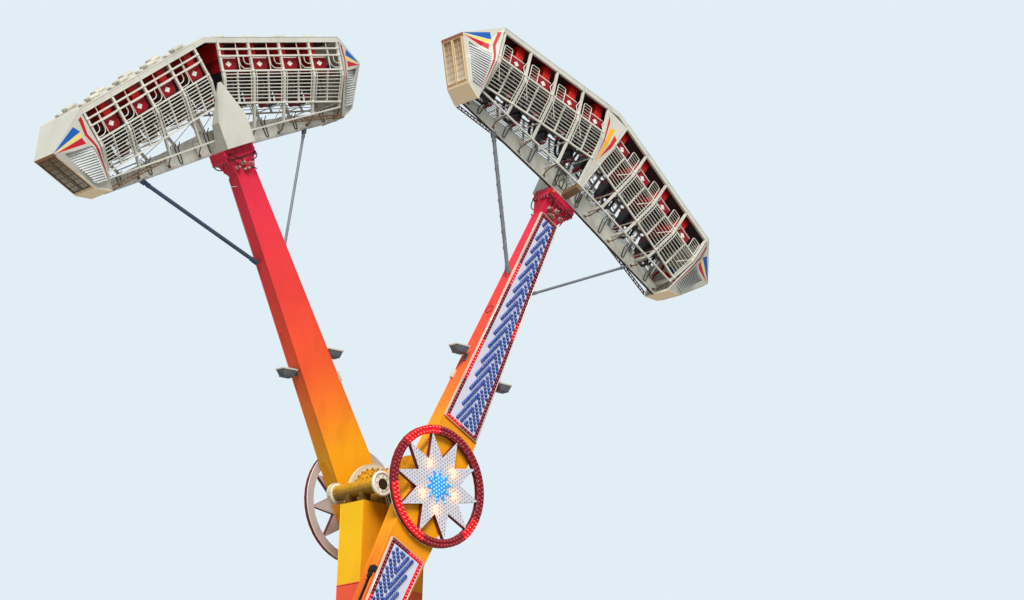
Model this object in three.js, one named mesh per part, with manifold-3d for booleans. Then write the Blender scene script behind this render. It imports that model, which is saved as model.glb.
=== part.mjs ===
// Twin-arm looping swing ride: a mast with a horizontal hub axis along Y, and two swing arms on it.
// Each arm carries a caged gondola at its upper end and a counterweight at its lower end.
// Millimetres, +Z up, origin on the ground straight under the hub axis.
// An arm is modelled in its own frame: X across the arm, Y away from the mast, Z along the arm from the hub.
import * as THREE from "three";
import { mergeVertices } from "three/addons/utils/BufferGeometryUtils.js";
import Module from "manifold-3d";

const wasm = await Module();
wasm.setup();

// Driving dimensions
const hubHeight = 12500;
const frontLean = 0.442;
const rearLean = -0.516;
const seatGap = 0.3;
const lap = 10;       // how far shapes that are joined run into each other
const overcut = 2;    // how far a cutting shape runs past what it cuts
const roundSides = 16;

const mast = { left: -1180, right: 600, halfDepth: 386, top: hubHeight - 350, split: hubHeight - 2140 };
const hub = { drumRadius: 620, drumHalf: 925, flangeRadius: 800, flangeIn: 600, flangeOut: 680, sides: 32 };
const shaft = { radius: 300, end: 1170, sides: 24, clearance: 0.4, endRoom: 20 };
const cylinder = {
  x: -1030, z: hubHeight - 30, radius: 170, half: 700, capRadius: 240, capEnd: 790,
  cradleAt: 230, cradleHalf: 60, cradleHalfWidth: 120, cradleUnder: 60, drumGap: 5,
};
const chassis = {
  halfLength: 4300, halfWidth: 1150, bottom: 500, top: 900, footHalfWidth: 620, footReach: 200,
};
const outrigger = {
  x: 3600, half: 3300, width: 320, height: 300, jackInset: 250, jackRadius: 90, padRadius: 340, padHeight: 60,
};

const arm = {
  innerHub: 940, innerTip: 990, outerHub: 1360, outerTip: 1280, outerEnd: 1340,
  halfHub: 618, halfTip: 262, halfEnd: 440, tip: 8180, end: -4600,
};
const neck = { from: 7860, to: 8200, half: 400, inner: 980, outer: 1420 };
const flange = { halfWidth: 450, inner: 975, outer: 1480, bottom: 8180, top: 8430 };
const counterweight = { halfWidth: 850, inner: 640, outer: 1700, top: -4000, bottom: -6100 };
const upperPanel = { from: 1590, to: 7810, halfFrom: 513, halfTo: 270, thick: 30 };
const lowerPanel = { from: -3950, to: -1670, halfFrom: 430, halfTo: 493, thick: 30 };
const wheel = {
  radius: 1350, ringWidth: 185, back: 1372, front: 1480, sides: 40, points: 10, notch: 640, stub: 300,
  starInset: 4, tipOverlap: 30,
};
const flood = {
  along: 3250, offset: 260, width: 420, height: 200, depth: 280, y: 1150, bracket: 60, bracketFrom: 40,
  bracketTo: 100, root: 60,
};
const strut = {
  armAlong: 5800, roofAcross: 2500, footY: 1205, headY: 1445, root: 160, lug: 70, lugWidth: 90,
  radii: { left: 46, right: 32 },
};

// Gondola: its two halves slope away from the middle, and depth counts from the floor's underside
const slope = 0.1992;
const cab = { inner: 824, outer: 2285, startAcross: 324, startAlong: 10763, bay: 900, bays: 4, end: 3640 };
const deck = { depth: 124, sheet: 40, rim: 60 };
const roof = {
  inner: 1150, outer: 1930, flat: 500, underMid: 8430.3, underEnd: 8330, endAcross: 3560, depth: 300,
};
const girder = {
  inner: 1410, outer: 1480, topMid: 8960, topEnd: 8560, rail: 36, rungHalf: 30, middleHalf: 420,
  stayHalf: 90, stay: { lowIn: 8450, highIn: 8630, lowOut: 8590, highOut: 8705 },
};
const knee = 800;
const post = { width: 55, footClear: 30 };
const rail = { width: 38, sink: 5 };
const straightRails = { inner: [147, 306, 650], outer: [650] };
const lowRail = 1350;
const nose = {
  frontOut: [4670, 9450], frontIn: [3950, 8500], halfWidth: 360, wall: 40, mullion: 30, margin: 60,
  kneeShare: 0.5, windowShares: [0.08, 0.92],
};
const sideWindow = [[4440, 9360], [3880, 9360], [3650, 8600], [3900, 8600]];
const pillar = { half: 420, shoulder: 9050, tip: 9900, tipHalf: 50, backGap: 4 };
const wedge = { thick: 25, gap: 8 };
const seat = {
  inner: 920, outer: 2190, middle: 1555, wing: 40, backFrom: 60, backTo: 160, front: 520,
  panFrom: 330, panTo: 470, wingTop: 620, shoulder: 880, backTop: 1250, shoulderHalf: 270, headHalf: 150,
  headShift: 15, barHalf: 120, pedestalFrom: 60, pedestalTo: 310, pedestalInset: 60,
  railHalf: 60, railHeight: 30, lap: 20,
};
const restraint = [[140, 1240], [400, 1240], [490, 1150], [490, 700], [420, 700], [420, 1120], [370, 1170],
  [140, 1170]];

const paint = (color, roughness = 0.5, metalness = 0.2) =>
  new THREE.MeshStandardMaterial({ color, roughness, metalness });
const looks = {
  yellow: paint(0xf2b61c), orange: paint(0xe9692a), arm: paint(0xe8452b), cream: paint(0xd9d5c8),
  panel: paint(0xd8dcea), wheel: paint(0xc01622), lamp: paint(0x5d646b), tube: paint(0x7c8a99, 0.4, 0.6),
  cage: paint(0xdcdad2), seat: paint(0xb01d24, 0.6, 0), dark: paint(0x4a4c50, 0.6, 0.4),
  drum: paint(0xc08a20), louvre: paint(0xcbb990),
};

const mix = (a, b, share) => a + (b - a) * share;
const join = (bodies) => bodies.reduce((whole, next) => whole.add(next));

// Turns a closed three.js geometry into a solid that can be joined and cut
function solid(geometry) {
  geometry.deleteAttribute("normal");
  geometry.deleteAttribute("uv");
  const merged = mergeVertices(geometry, 1e-3);
  const vertProperties = new Float32Array(merged.attributes.position.array);
  const triVerts = new Uint32Array(merged.index.array);
  return new wasm.Manifold(new wasm.Mesh({ numProp: 3, vertProperties, triVerts }));
}

function named(name, body, material) {
  const { vertProperties, triVerts } = body.getMesh();
  const geometry = new THREE.BufferGeometry();
  geometry.setAttribute("position", new THREE.BufferAttribute(new Float32Array(vertProperties), 3));
  geometry.setIndex(new THREE.BufferAttribute(new Uint32Array(triVerts), 1));
  geometry.computeVertexNormals();
  const mesh = new THREE.Mesh(geometry, material);
  mesh.name = name;
  return mesh;
}

function block(x0, x1, y0, y1, z0, z1) {
  const box = new THREE.BoxGeometry(x1 - x0, y1 - y0, z1 - z0);
  return solid(box.translate((x0 + x1) / 2, (y0 + y1) / 2, (z0 + z1) / 2));
}

// Round disc or bar along Y
function drum(radius, y0, y1, x, z, sides) {
  return solid(new THREE.CylinderGeometry(radius, radius, y1 - y0, sides).translate(x, (y0 + y1) / 2, z));
}

// Outline in the X-Z plane, extruded along Y
function plate(outline, y0, y1) {
  const shape = new THREE.Shape(outline.map(([x, z]) => new THREE.Vector2(x, z)));
  const geometry = new THREE.ExtrudeGeometry(shape, { depth: y1 - y0, bevelEnabled: false });
  return solid(geometry.rotateX(Math.PI / 2).translate(0, y1, 0));
}

// Outline in the Y-Z plane, extruded along X
function profile(outline, x0, x1) {
  const shape = new THREE.Shape(outline.map(([y, z]) => new THREE.Vector2(y, z)));
  const geometry = new THREE.ExtrudeGeometry(shape, { depth: x1 - x0, bevelEnabled: false });
  return solid(geometry.rotateX(Math.PI / 2).rotateZ(Math.PI / 2).translate(x0, 0, 0));
}

// Skin over a row of convex sections that hold the same number of points
function loft(sections) {
  const count = sections[0].length;
  const last = (sections.length - 1) * count;
  const faces = [];
  for (let ring = 0; ring < last; ring += count) {
    for (let i = 0; i < count; i += 1) {
      const [a, b] = [ring + i, ring + ((i + 1) % count)];
      faces.push(a, b, b + count, a, b + count, a + count);
    }
  }
  for (let i = 1; i + 1 < count; i += 1) {
    faces.push(0, i + 1, i, last, last + i, last + i + 1);
  }
  const geometry = new THREE.BufferGeometry();
  geometry.setAttribute("position", new THREE.Float32BufferAttribute(sections.flat(2), 3));
  geometry.setIndex(faces);
  const body = solid(geometry);
  if (body.volume() > 0) return body;
  geometry.setIndex(faces.toReversed());
  return solid(geometry);
}

// Bar from one point to another
function bar(from, to, radius, sides) {
  const start = new THREE.Vector3(...from);
  const end = new THREE.Vector3(...to);
  const along = end.clone().sub(start);
  const rod = new THREE.CylinderGeometry(radius, radius, along.length(), sides);
  const turn = new THREE.Quaternion().setFromUnitVectors(new THREE.Vector3(0, 1, 0), along.normalize());
  rod.applyQuaternion(turn).translate(...start.add(end).multiplyScalar(0.5).toArray());
  return solid(rod);
}

// Arm: half width, mast-side face and outer face at a distance along it
const armHalf = (along) => (along > 0
  ? mix(arm.halfHub, arm.halfTip, along / arm.tip)
  : mix(arm.halfHub, arm.halfEnd, along / arm.end));
const armInner = (along) => mix(arm.innerHub, arm.innerTip, Math.max(along, 0) / arm.tip);
const armOuter = (along) => (along > 0
  ? mix(arm.outerHub, arm.outerTip, along / arm.tip)
  : mix(arm.outerHub, arm.outerEnd, along / arm.end));
const ring = (half, y0, y1, z) => [[-half, y0, z], [half, y0, z], [half, y1, z], [-half, y1, z]];
const armSection = (along, grow = 0) =>
  ring(armHalf(along) + grow, armInner(along) - grow, armOuter(along) + grow, along);

function buildArmBeam() {
  const beam = loft([armSection(arm.end), armSection(0), armSection(arm.tip)]);
  const { halfWidth, inner, outer, bottom, top } = flange;
  const head = block(-halfWidth, halfWidth, inner, outer, bottom, top);
  const collar = loft([armSection(neck.from), ring(neck.half, neck.inner, neck.outer, neck.to)]);
  const boss = drum(hub.drumRadius, arm.innerHub, arm.outerHub, 0, 0, hub.sides);
  const lug = bar(strutPoint(-strut.root), strutPoint(strut.lug), strut.lugWidth / 2, 8);
  const boreRadius = (shaft.radius + shaft.clearance) / Math.cos(Math.PI / shaft.sides);
  const bore = drum(boreRadius, 0, shaft.end + shaft.endRoom, 0, 0, shaft.sides);
  return join([beam, head, collar, boss, lug, lug.mirror([1, 0, 0])]).subtract(bore);
}

const roofTop = roof.underMid + roof.depth;
const roofFall = (roof.underMid - roof.underEnd) / (roof.endAcross - roof.flat);
const strutFoot = new THREE.Vector3(armHalf(strut.armAlong), strut.footY, strut.armAlong);
const strutHead = new THREE.Vector3(strut.roofAcross, strut.headY,
  roof.underMid - roofFall * (strut.roofAcross - roof.flat));

// Point on the right strut's axis, measured from the arm's side face towards the roof girder
function strutPoint(distance) {
  return strutHead.clone().sub(strutFoot).setLength(distance).add(strutFoot).toArray();
}

function buildStrut(radius) {
  const beyond = strutFoot.distanceTo(strutHead) + strut.lug;
  const rod = bar(strutPoint(strut.lug + seatGap), strutPoint(beyond), radius, 12);
  return rod.subtract(roofSolid(seatGap));
}

// Closed shape that the gondola's lower parts meet; grow makes it larger, for cutting what rests on it
function roofSolid(grow = 0) {
  const end = roof.endAcross + grow;
  const [under, top] = [roof.underMid - grow, roofTop + grow];
  const [underEnd, topEnd] = [roof.underEnd - grow, roof.underEnd + roof.depth + grow];
  const outline = [[-end, underEnd], [-roof.flat, under], [roof.flat, under], [end, underEnd],
    [end, topEnd], [roof.flat, top], [-roof.flat, top], [-end, topEnd]];
  return plate(outline, roof.inner - grow, roof.outer + grow);
}

// Plate girder with a rail under each cage, rungs to carry the rails, a closed middle and the wedge's stay
function buildRoof() {
  const { inner, outer, topMid, topEnd, rail: railSize, rungHalf, middleHalf, stayHalf } = girder;
  const { flat, underMid, underEnd, endAcross } = roof;
  const { lowIn, highIn, lowOut, highOut } = girder.stay;
  const whole = roofSolid();
  const topLayer = whole.subtract(whole.translate([0, 0, -railSize]));
  const column = (x, reach, y0, y1) => block(x - reach, x + reach, y0, y1, underEnd, roofTop);
  const columns = [column(0, endAcross, roof.inner, roof.inner + railSize),
    column(0, endAcross, roof.outer - railSize, roof.outer)];
  for (let i = 1; i <= cab.bays; i += 1) {
    const [out, depth] = postFoot(i);
    const x = Math.min(cabPoint(out, 0, depth)[0], endAcross - rungHalf);
    columns.push(column(x, rungHalf, roof.inner, roof.outer), column(-x, rungHalf, roof.inner, roof.outer));
  }
  const web = plate([[-endAcross, underEnd], [-flat, underMid], [flat, underMid], [endAcross, underEnd],
    [endAcross, topEnd], [flat, topMid], [-flat, topMid], [-endAcross, topEnd]], inner, outer);
  const stay = profile([[outer - lap, lowIn], [roof.outer, lowOut], [roof.outer, highOut],
    [outer - lap, highIn]], -stayHalf, stayHalf);
  return join([topLayer.intersect(join(columns)), web, stay,
    whole.intersect(column(0, middleHalf, roof.inner, outer))]);
}

function buildCounterweight() {
  const { halfWidth, inner, outer, top, bottom } = counterweight;
  const mass = block(-halfWidth, halfWidth, inner, outer, bottom, top);
  const pocketEnd = armSection(arm.end, seatGap).map(([x, y, z]) => [x, y, z - seatGap]);
  return mass.subtract(loft([pocketEnd, armSection(top / 2, seatGap)]));
}

function buildPanel({ from, to, halfFrom, halfTo, thick }) {
  const section = (along, half) => {
    const face = armOuter(along) + seatGap;
    return ring(half, face, face + thick, along);
  };
  return loft([section(from, halfFrom), section(to, halfTo)]);
}

function buildStarWheel() {
  const inside = wheel.radius - wheel.ringWidth;
  const rim = drum(wheel.radius, wheel.back, wheel.front, 0, 0, wheel.sides)
    .subtract(drum(inside, 0, wheel.front + overcut, 0, 0, wheel.sides));
  const outline = [];
  for (let i = 0; i < wheel.points * 2; i += 1) {
    const reach = i % 2 ? wheel.notch : inside + wheel.tipOverlap;
    const turn = (i * Math.PI) / wheel.points;
    outline.push([reach * Math.sin(turn), reach * Math.cos(turn)]);
  }
  const star = plate(outline, wheel.back + wheel.starInset, wheel.front - wheel.starInset);
  const stub = drum(wheel.stub, arm.outerHub + seatGap, wheel.back + lap, 0, 0, roundSides);
  return join([rim, star, stub]);
}

function buildFloodlight() {
  const { along, offset, width, height, depth, y, bracket, bracketFrom, bracketTo, root } = flood;
  const centre = armHalf(along) + offset;
  const sides = [centre - width / 2, centre + width / 2];
  const head = block(...sides, y - depth / 2, y + depth / 2, along, along + height);
  const rise = [along + bracketFrom, along + bracketTo];
  const foot = block(armHalf(along) - root, centre, y - bracket, y + bracket, ...rise);
  return head.add(foot).subtract(loft([armSection(0, seatGap), armSection(arm.tip, seatGap)]));
}

// The gondola's right half is built level, X out along the floor and Z = -depth, then set on its slope
const cabFrame = new THREE.Matrix4().makeRotationY(slope).setPosition(cab.startAcross, 0, cab.startAlong);
const setCab = (body) => body.transform(cabFrame.elements);
const cabPoint = (out, y, depth) => new THREE.Vector3(out, y, -depth).applyMatrix4(cabFrame).toArray();

// Depth at which a line square to the floor meets the roof girder's top
function roofDepth(out) {
  const startFall = roofFall * (cab.startAcross - roof.flat + out * Math.cos(slope));
  const rise = cab.startAlong - out * Math.sin(slope) - roofTop + startFall;
  return rise / (Math.cos(slope) + roofFall * Math.sin(slope));
}

// Outer skin of the cage: upright to the knee, then drawn in towards the roof girder
function cageY(face, out, depth) {
  const [wide, narrow] = [cab[face], roof[face]];
  return depth <= knee ? wide : mix(wide, narrow, (depth - knee) / (roofDepth(out) - knee));
}

// Bar that follows the cage skin through stations [out, depth]
function skinBar(face, stations, halfOut, halfDepth, thick, sink) {
  const inward = face === "inner" ? 1 : -1;
  const sections = stations.map(([out, depth]) => {
    const y0 = cageY(face, out, depth) + inward * sink;
    const y1 = y0 + inward * thick;
    return [[out - halfOut, y0, halfDepth - depth], [out + halfOut, y0, -halfDepth - depth],
      [out + halfOut, y1, -halfDepth - depth], [out - halfOut, y1, halfDepth - depth]];
  });
  return loft(sections);
}

function postOut(i) {
  const inset = post.width / 2;
  return Math.min(Math.max(i * cab.bay, inset), cab.bays * cab.bay - inset);
}

// The first post ends beside the gondola's middle, so that the two halves' posts stand side by side
function postFoot(i) {
  const out = postOut(i);
  if (i > 0) return [out, roofDepth(out) + post.width];
  const depth = roofDepth(0);
  const across = post.footClear + post.width / 2;
  return [(across - cab.startAcross + depth * Math.sin(slope)) / Math.cos(slope), depth + post.width];
}

function postAt(i, depth) {
  const [footOut, footDepth] = postFoot(i);
  return mix(postOut(i), footOut, (depth - knee) / (footDepth - knee));
}

function buildCage(face) {
  const bars = [];
  const [halfPost, halfRail] = [post.width / 2, rail.width / 2];
  for (let i = 0; i <= cab.bays; i += 1) {
    const stations = [[postOut(i), seatGap], [postOut(i), knee], postFoot(i)];
    bars.push(skinBar(face, stations, halfPost, 0, post.width, 0));
  }
  for (const depth of straightRails[face]) {
    const stations = [[postOut(0), depth], [postOut(cab.bays), depth]];
    bars.push(skinBar(face, stations, 0, halfRail, rail.width, rail.sink));
  }
  const lowStations = Array.from({ length: cab.bays + 1 }, (_, i) => [postAt(i, lowRail), lowRail]);
  bars.push(skinBar(face, lowStations, 0, halfRail, rail.width, rail.sink));
  for (let i = 0; i < cab.bays; i += 1) {
    const out = (i + 0.5) * cab.bay;
    bars.push(skinBar(face, [[out, straightRails[face].at(-1)], [out, lowRail]], halfRail, 0, rail.width,
      rail.sink * 2));
  }
  return setCab(join(bars)).subtract(roofSolid(seatGap));
}

function buildFloor() {
  const { depth, sheet, rim } = deck;
  const topMiddle = cab.startAlong + cab.startAcross * Math.tan(slope) + depth / Math.cos(slope);
  const layer = (thick) => {
    const [outX, , outZ] = cabPoint(cab.end - seatGap, 0, -depth);
    const [lowX, , lowZ] = cabPoint(cab.end - seatGap, 0, thick - depth);
    return [[seatGap, topMiddle], [outX, outZ], [lowX, lowZ], [seatGap, topMiddle - thick / Math.cos(slope)]];
  };
  return join([plate(layer(sheet), cab.inner, cab.outer), plate(layer(depth), cab.inner, cab.inner + rim),
    plate(layer(depth), cab.outer - rim, cab.outer)]);
}

// Point on the nose's front face: share 0 at the floor side, 1 at the roof side
function nosePoint(share, y, push) {
  const [outX, outZ] = nose.frontOut;
  const [inX, inZ] = nose.frontIn;
  const length = Math.hypot(outX - inX, outZ - inZ);
  const normal = [(outZ - inZ) / length, (inX - outX) / length];
  return [mix(outX, inX, share) + push * normal[0], y, mix(outZ, inZ, share) + push * normal[1]];
}

function noseSections(inset) {
  const middle = (cab.inner + cab.outer) / 2;
  const wide = (cab.outer - cab.inner) / 2 - inset;
  const narrow = (roof.outer - roof.inner) / 2 - inset;
  const [top, bottom] = [inset - deck.depth, roofDepth(cab.end) + roof.depth - inset];
  const front = nose.halfWidth - inset;
  const edge = inset / Math.hypot(nose.frontOut[0] - nose.frontIn[0], nose.frontOut[1] - nose.frontIn[1]);
  const base = [[-wide, top], [wide, top], [wide, knee], [narrow, bottom], [-narrow, bottom], [-wide, knee]];
  const face = [[-front, edge], [front, edge], [front, nose.kneeShare], [front, 1 - edge], [-front, 1 - edge],
    [-front, nose.kneeShare]];
  const back = inset > 0 ? cab.end - inset : cab.end;
  return [base.map(([y, depth]) => cabPoint(back, middle + y, depth)),
    face.map(([y, share]) => nosePoint(share, middle + y, -inset))];
}

function buildNose() {
  const middle = (cab.inner + cab.outer) / 2;
  const shell = loft(noseSections(0)).subtract(loft(noseSections(nose.wall)));
  const [low, high] = nose.windowShares;
  const window = (y0, y1) => loft([-2, 2].map((side) => [[low, y0], [low, y1], [high, y1], [high, y0]]
    .map(([share, y]) => nosePoint(share, middle + y, side * nose.wall))));
  const reach = nose.halfWidth - nose.margin;
  return shell.subtract(window(-reach, -nose.mullion)).subtract(window(nose.mullion, reach))
    .subtract(plate(sideWindow, 0, cab.outer * 2)).subtract(roofSolid(seatGap));
}

function buildPillar() {
  const { half, shoulder, tip, tipHalf, backGap } = pillar;
  const kneeAlong = cabPoint(post.width, 0, knee)[2];
  const low = flange.top + seatGap;
  const front = plate([[-half, low], [half, low], [half, shoulder], [tipHalf, tip], [-tipHalf, tip],
    [-half, shoulder]], cab.inner, roof.inner);
  const lean = profile([[cab.inner - overcut, low - overcut], [roof.inner - seatGap, low - overcut],
    [roof.inner - backGap, roofTop], [cab.inner - backGap, kneeAlong], [cab.inner - overcut - backGap, low]],
    -half - overcut, half + overcut);
  return front.intersect(lean);
}

function buildWedge() {
  const { thick, gap } = wedge;
  const level = (half, outer, z) => ring(half, outer - thick, outer, z);
  const under = cab.startAlong - gap;
  const [kneeX, , kneeZ] = cabPoint(0, 0, knee);
  return loft([level(cab.startAcross - gap, cab.outer, under), level(kneeX - gap, cab.outer, kneeZ),
    level(post.footClear - gap, roof.outer, roofTop + seatGap)]);
}

function buildSeats() {
  const sheetUnder = deck.depth - deck.sheet - seatGap;
  const parts = [block(seat.pedestalFrom + lap, (cab.bays - 1) * cab.bay + seat.pedestalTo - lap,
    seat.middle - seat.railHalf, seat.middle + seat.railHalf, sheetUnder - seat.railHeight, sheetUnder)];
  for (let row = 0; row < cab.bays; row += 1) {
    parts.push(...seatRow().map((piece) => piece.translate([row * cab.bay, 0, 0])));
  }
  return setCab(join(parts));

  function seatRow() {
    const { inner, outer, middle, wing, panFrom, panTo, wingTop } = seat;
    const pan = [[inner, -panFrom], [outer, -panFrom], [outer, -wingTop], [outer - wing, -wingTop],
      [outer - wing, -panTo], [middle + wing / 2, -panTo], [middle + wing / 2, -wingTop],
      [middle - wing / 2, -wingTop], [middle - wing / 2, -panTo], [inner + wing, -panTo],
      [inner + wing, -wingTop], [inner, -wingTop]];
    const pieces = [profile(pan, seat.backFrom + lap, seat.front),
      block(seat.pedestalFrom, seat.pedestalTo, inner + seat.pedestalInset, outer - seat.pedestalInset,
        -panFrom - seat.lap, sheetUnder)];
    for (const side of [-1, 1]) {
      const y = middle + (side * (outer - inner)) / 4;
      const head = y - side * seat.headShift;
      const { shoulder, backTop, shoulderHalf, headHalf, barHalf } = seat;
      pieces.push(profile([[y - shoulderHalf, seat.lap - panTo], [y + shoulderHalf, seat.lap - panTo],
        [y + shoulderHalf, -shoulder], [head + headHalf, -backTop], [head - headHalf, -backTop],
        [y - shoulderHalf, -shoulder]], seat.backFrom, seat.backTo));
      pieces.push(plate(restraint.map(([out, depth]) => [out, -depth]), head - barHalf, head + barHalf));
    }
    return pieces;
  }
}

function buildArm(prefix, turned) {
  const group = new THREE.Group();
  const add = (name, body, material) => group.add(named(`${prefix}_${name}`, body, material));
  const addPair = (name, body, material, end = "") => {
    const [left, right] = turned ? [body, body.mirror([1, 0, 0])] : [body.mirror([1, 0, 0]), body];
    add(`${name}_left${end}`, left, material);
    add(`${name}_right${end}`, right, material);
  };
  add("arm_beam", buildArmBeam(), looks.arm);
  add("counterweight", buildCounterweight(), looks.orange);
  add("light_panel_upper", buildPanel(upperPanel), looks.panel);
  add("light_panel_lower", buildPanel(lowerPanel), looks.panel);
  add("star_wheel", buildStarWheel(), looks.wheel);
  add("roof_girder", buildRoof(), looks.cream);
  add("inner_pillar", buildPillar(), looks.cream);
  add("outer_wedge", buildWedge(), looks.cream);
  addPair("floodlight", buildFloodlight(), looks.lamp);
  for (const [side, radius] of Object.entries(strut.radii)) {
    const rod = buildStrut(radius);
    add(`strut_${side}`, turned === (side === "right") ? rod.mirror([1, 0, 0]) : rod, looks.tube);
  }
  addPair("floor", buildFloor(), looks.cream);
  addPair("nose", buildNose(), looks.louvre);
  addPair("seats", buildSeats(), looks.seat);
  addPair("cage", buildCage("inner"), looks.cage, "_inner");
  addPair("cage", buildCage("outer"), looks.cage, "_outer");
  return group;
}

// The front arm is the rear one turned half round the mast
function placeArm(prefix, lean, turned) {
  const tilt = new THREE.Group();
  tilt.position.set(0, 0, hubHeight);
  tilt.rotation.y = lean;
  const whole = buildArm(prefix, turned);
  whole.rotation.z = turned ? Math.PI : 0;
  tilt.add(whole);
  return tilt;
}

function buildMast(from, to) {
  return block(mast.left, mast.right, -mast.halfDepth, mast.halfDepth, from, to);
}

function buildHub() {
  const turned = (radius, y0, y1) => drum(radius, y0, y1, 0, hubHeight, hub.sides);
  return join([turned(hub.drumRadius, -hub.drumHalf, hub.drumHalf),
    turned(hub.flangeRadius, -hub.flangeOut, -hub.flangeIn),
    turned(hub.flangeRadius, hub.flangeIn, hub.flangeOut),
    stubShaft(frontLean, -1), stubShaft(rearLean, 1)]);
}

// The shaft's edges stand on the middles of the bore's flats, so that the arm is carried at rest
function stubShaft(lean, side) {
  const rod = new THREE.CylinderGeometry(shaft.radius, shaft.radius, shaft.end, shaft.sides);
  return solid(rod.rotateY(lean + Math.PI / shaft.sides).translate(0, (side * shaft.end) / 2, hubHeight));
}

function buildDriveCylinder() {
  const { x, z, radius, half, capRadius, capEnd, cradleAt, cradleHalf, cradleHalfWidth, drumGap } = cylinder;
  const cradle = (y) => block(x - cradleHalfWidth, x + cradleHalfWidth, y - cradleHalf, y + cradleHalf,
    mast.top + seatGap, z - cylinder.cradleUnder);
  const bodyOf = (size, from, to) => drum(size, from, to, x, z, roundSides);
  const roomFor = (size, from, to) =>
    drum(size + drumGap, from - drumGap, to + drumGap, 0, hubHeight, hub.sides);
  return join([bodyOf(radius, -half - lap, half + lap), bodyOf(capRadius, -capEnd, -half),
    bodyOf(capRadius, half, capEnd), cradle(-cradleAt), cradle(cradleAt)])
    .subtract(roomFor(hub.flangeRadius, -hub.flangeOut, -hub.flangeIn))
    .subtract(roomFor(hub.flangeRadius, hub.flangeIn, hub.flangeOut))
    .subtract(roomFor(hub.drumRadius, -hub.drumHalf, hub.drumHalf));
}

function buildChassis() {
  const { halfLength, halfWidth, bottom, top, footHalfWidth, footReach } = chassis;
  const body = block(-halfLength, halfLength, -halfWidth, halfWidth, bottom, top);
  const foot = block(mast.left - footReach, mast.right + footReach, -footHalfWidth, footHalfWidth, 0,
    bottom + lap);
  const half = outrigger.width / 2 + seatGap;
  const slot = block(outrigger.x - half, outrigger.x + half, -halfWidth * 2, halfWidth * 2, 0,
    bottom + outrigger.height + seatGap);
  return body.add(foot).subtract(slot).subtract(slot.mirror([1, 0, 0]));
}

function buildOutrigger() {
  const { x, half, width, height, jackInset, jackRadius, padRadius, padHeight } = outrigger;
  const upright = (radius, tall, y) =>
    solid(new THREE.CylinderGeometry(radius, radius, tall, roundSides).rotateX(Math.PI / 2)
      .translate(x, y, tall / 2));
  const beam = block(x - width / 2, x + width / 2, -half, half, chassis.bottom, chassis.bottom + height);
  const feet = [jackInset - half, half - jackInset].flatMap((y) =>
    [upright(jackRadius, chassis.bottom + lap, y), upright(padRadius, padHeight, y)]);
  return join([beam, ...feet]);
}

const ride = new THREE.Group();
const saddle = drum(hub.drumRadius + seatGap, -hub.drumHalf, hub.drumHalf, 0, hubHeight, hub.sides);
ride.add(
  named("base_chassis", buildChassis(), looks.dark),
  named("outrigger_left", buildOutrigger().mirror([1, 0, 0]), looks.orange),
  named("outrigger_right", buildOutrigger(), looks.orange),
  named("mast_lower", buildMast(chassis.top + seatGap, mast.split), looks.orange),
  named("mast_upper", buildMast(mast.split + seatGap, mast.top).subtract(saddle), looks.yellow),
  named("hub_drum", buildHub(), looks.drum),
  named("drive_cylinder", buildDriveCylinder(), looks.drum),
  placeArm("front", frontLean, true),
  placeArm("rear", rearLean, false),
);

export default ride;
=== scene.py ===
import itertools
import math

import bpy
import numpy as np
from mathutils import Euler, Matrix, Vector


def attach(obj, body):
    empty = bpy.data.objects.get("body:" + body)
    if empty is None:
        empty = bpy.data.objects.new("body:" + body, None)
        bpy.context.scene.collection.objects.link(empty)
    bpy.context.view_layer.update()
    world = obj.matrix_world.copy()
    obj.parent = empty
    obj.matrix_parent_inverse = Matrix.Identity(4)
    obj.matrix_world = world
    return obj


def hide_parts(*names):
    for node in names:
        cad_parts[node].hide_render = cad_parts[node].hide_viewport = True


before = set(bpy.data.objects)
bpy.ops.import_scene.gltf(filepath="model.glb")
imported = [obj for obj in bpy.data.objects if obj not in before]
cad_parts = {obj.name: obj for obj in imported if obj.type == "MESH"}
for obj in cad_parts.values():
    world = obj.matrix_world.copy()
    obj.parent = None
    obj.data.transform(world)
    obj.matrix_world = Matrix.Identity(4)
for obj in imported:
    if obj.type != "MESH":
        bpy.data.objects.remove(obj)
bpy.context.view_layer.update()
print("frame loaded")

# Where things are, in metres
hubHeight = 12.5
armLean = {"front": 0.442, "rear": -0.516}
halfSide = {"front": {"left": 1, "right": -1}, "rear": {"left": -1, "right": 1}}  # sign of X in the arm's frame
bothSides = (-1, 1)
cab = {
    "slope": 0.1992, "start": (0.324, 0, 10.763), "inner": 0.824, "outer": 2.285, "bay": 0.9, "bays": 4,
    "end": 3.64, "knee": 0.8, "middle": 1.5545,
}
girder = {
    "inner": 1.150, "outer": 1.930, "flat": 0.5, "under": 8.4303, "fall": 0.03278, "depth": 0.3, "end": 3.56,
    "face": 1.480, "back": 1.410, "topMid": 8.960, "topEnd": 8.560,
}
armShape = {
    "innerHub": 0.940, "innerTip": 0.990, "innerEnd": 0.940,
    "outerHub": 1.360, "outerTip": 1.280, "outerEnd": 1.340,
    "halfHub": 0.618, "halfTip": 0.262, "halfEnd": 0.440, "tip": 8.18, "end": -4.6,
}


def mix(a, b, share):
    return a + (b - a) * share


def armMatrix(arm):  # from an arm's frame to the ride's: X across, Y away from the mast, Z along the arm
    turn = Matrix.Rotation(math.pi, 4, "Z") if arm == "front" else Matrix()
    return Matrix.Translation((0, 0, hubHeight)) @ Matrix.Rotation(armLean[arm], 4, "Y") @ turn


def cabMatrix(side):  # from a gondola half's frame to the arm's: X out along the floor, Z = -depth
    flip = Matrix.Diagonal((side, 1, 1, 1))
    return flip @ Matrix.Translation(cab["start"]) @ Matrix.Rotation(cab["slope"], 4, "Y")


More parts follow.
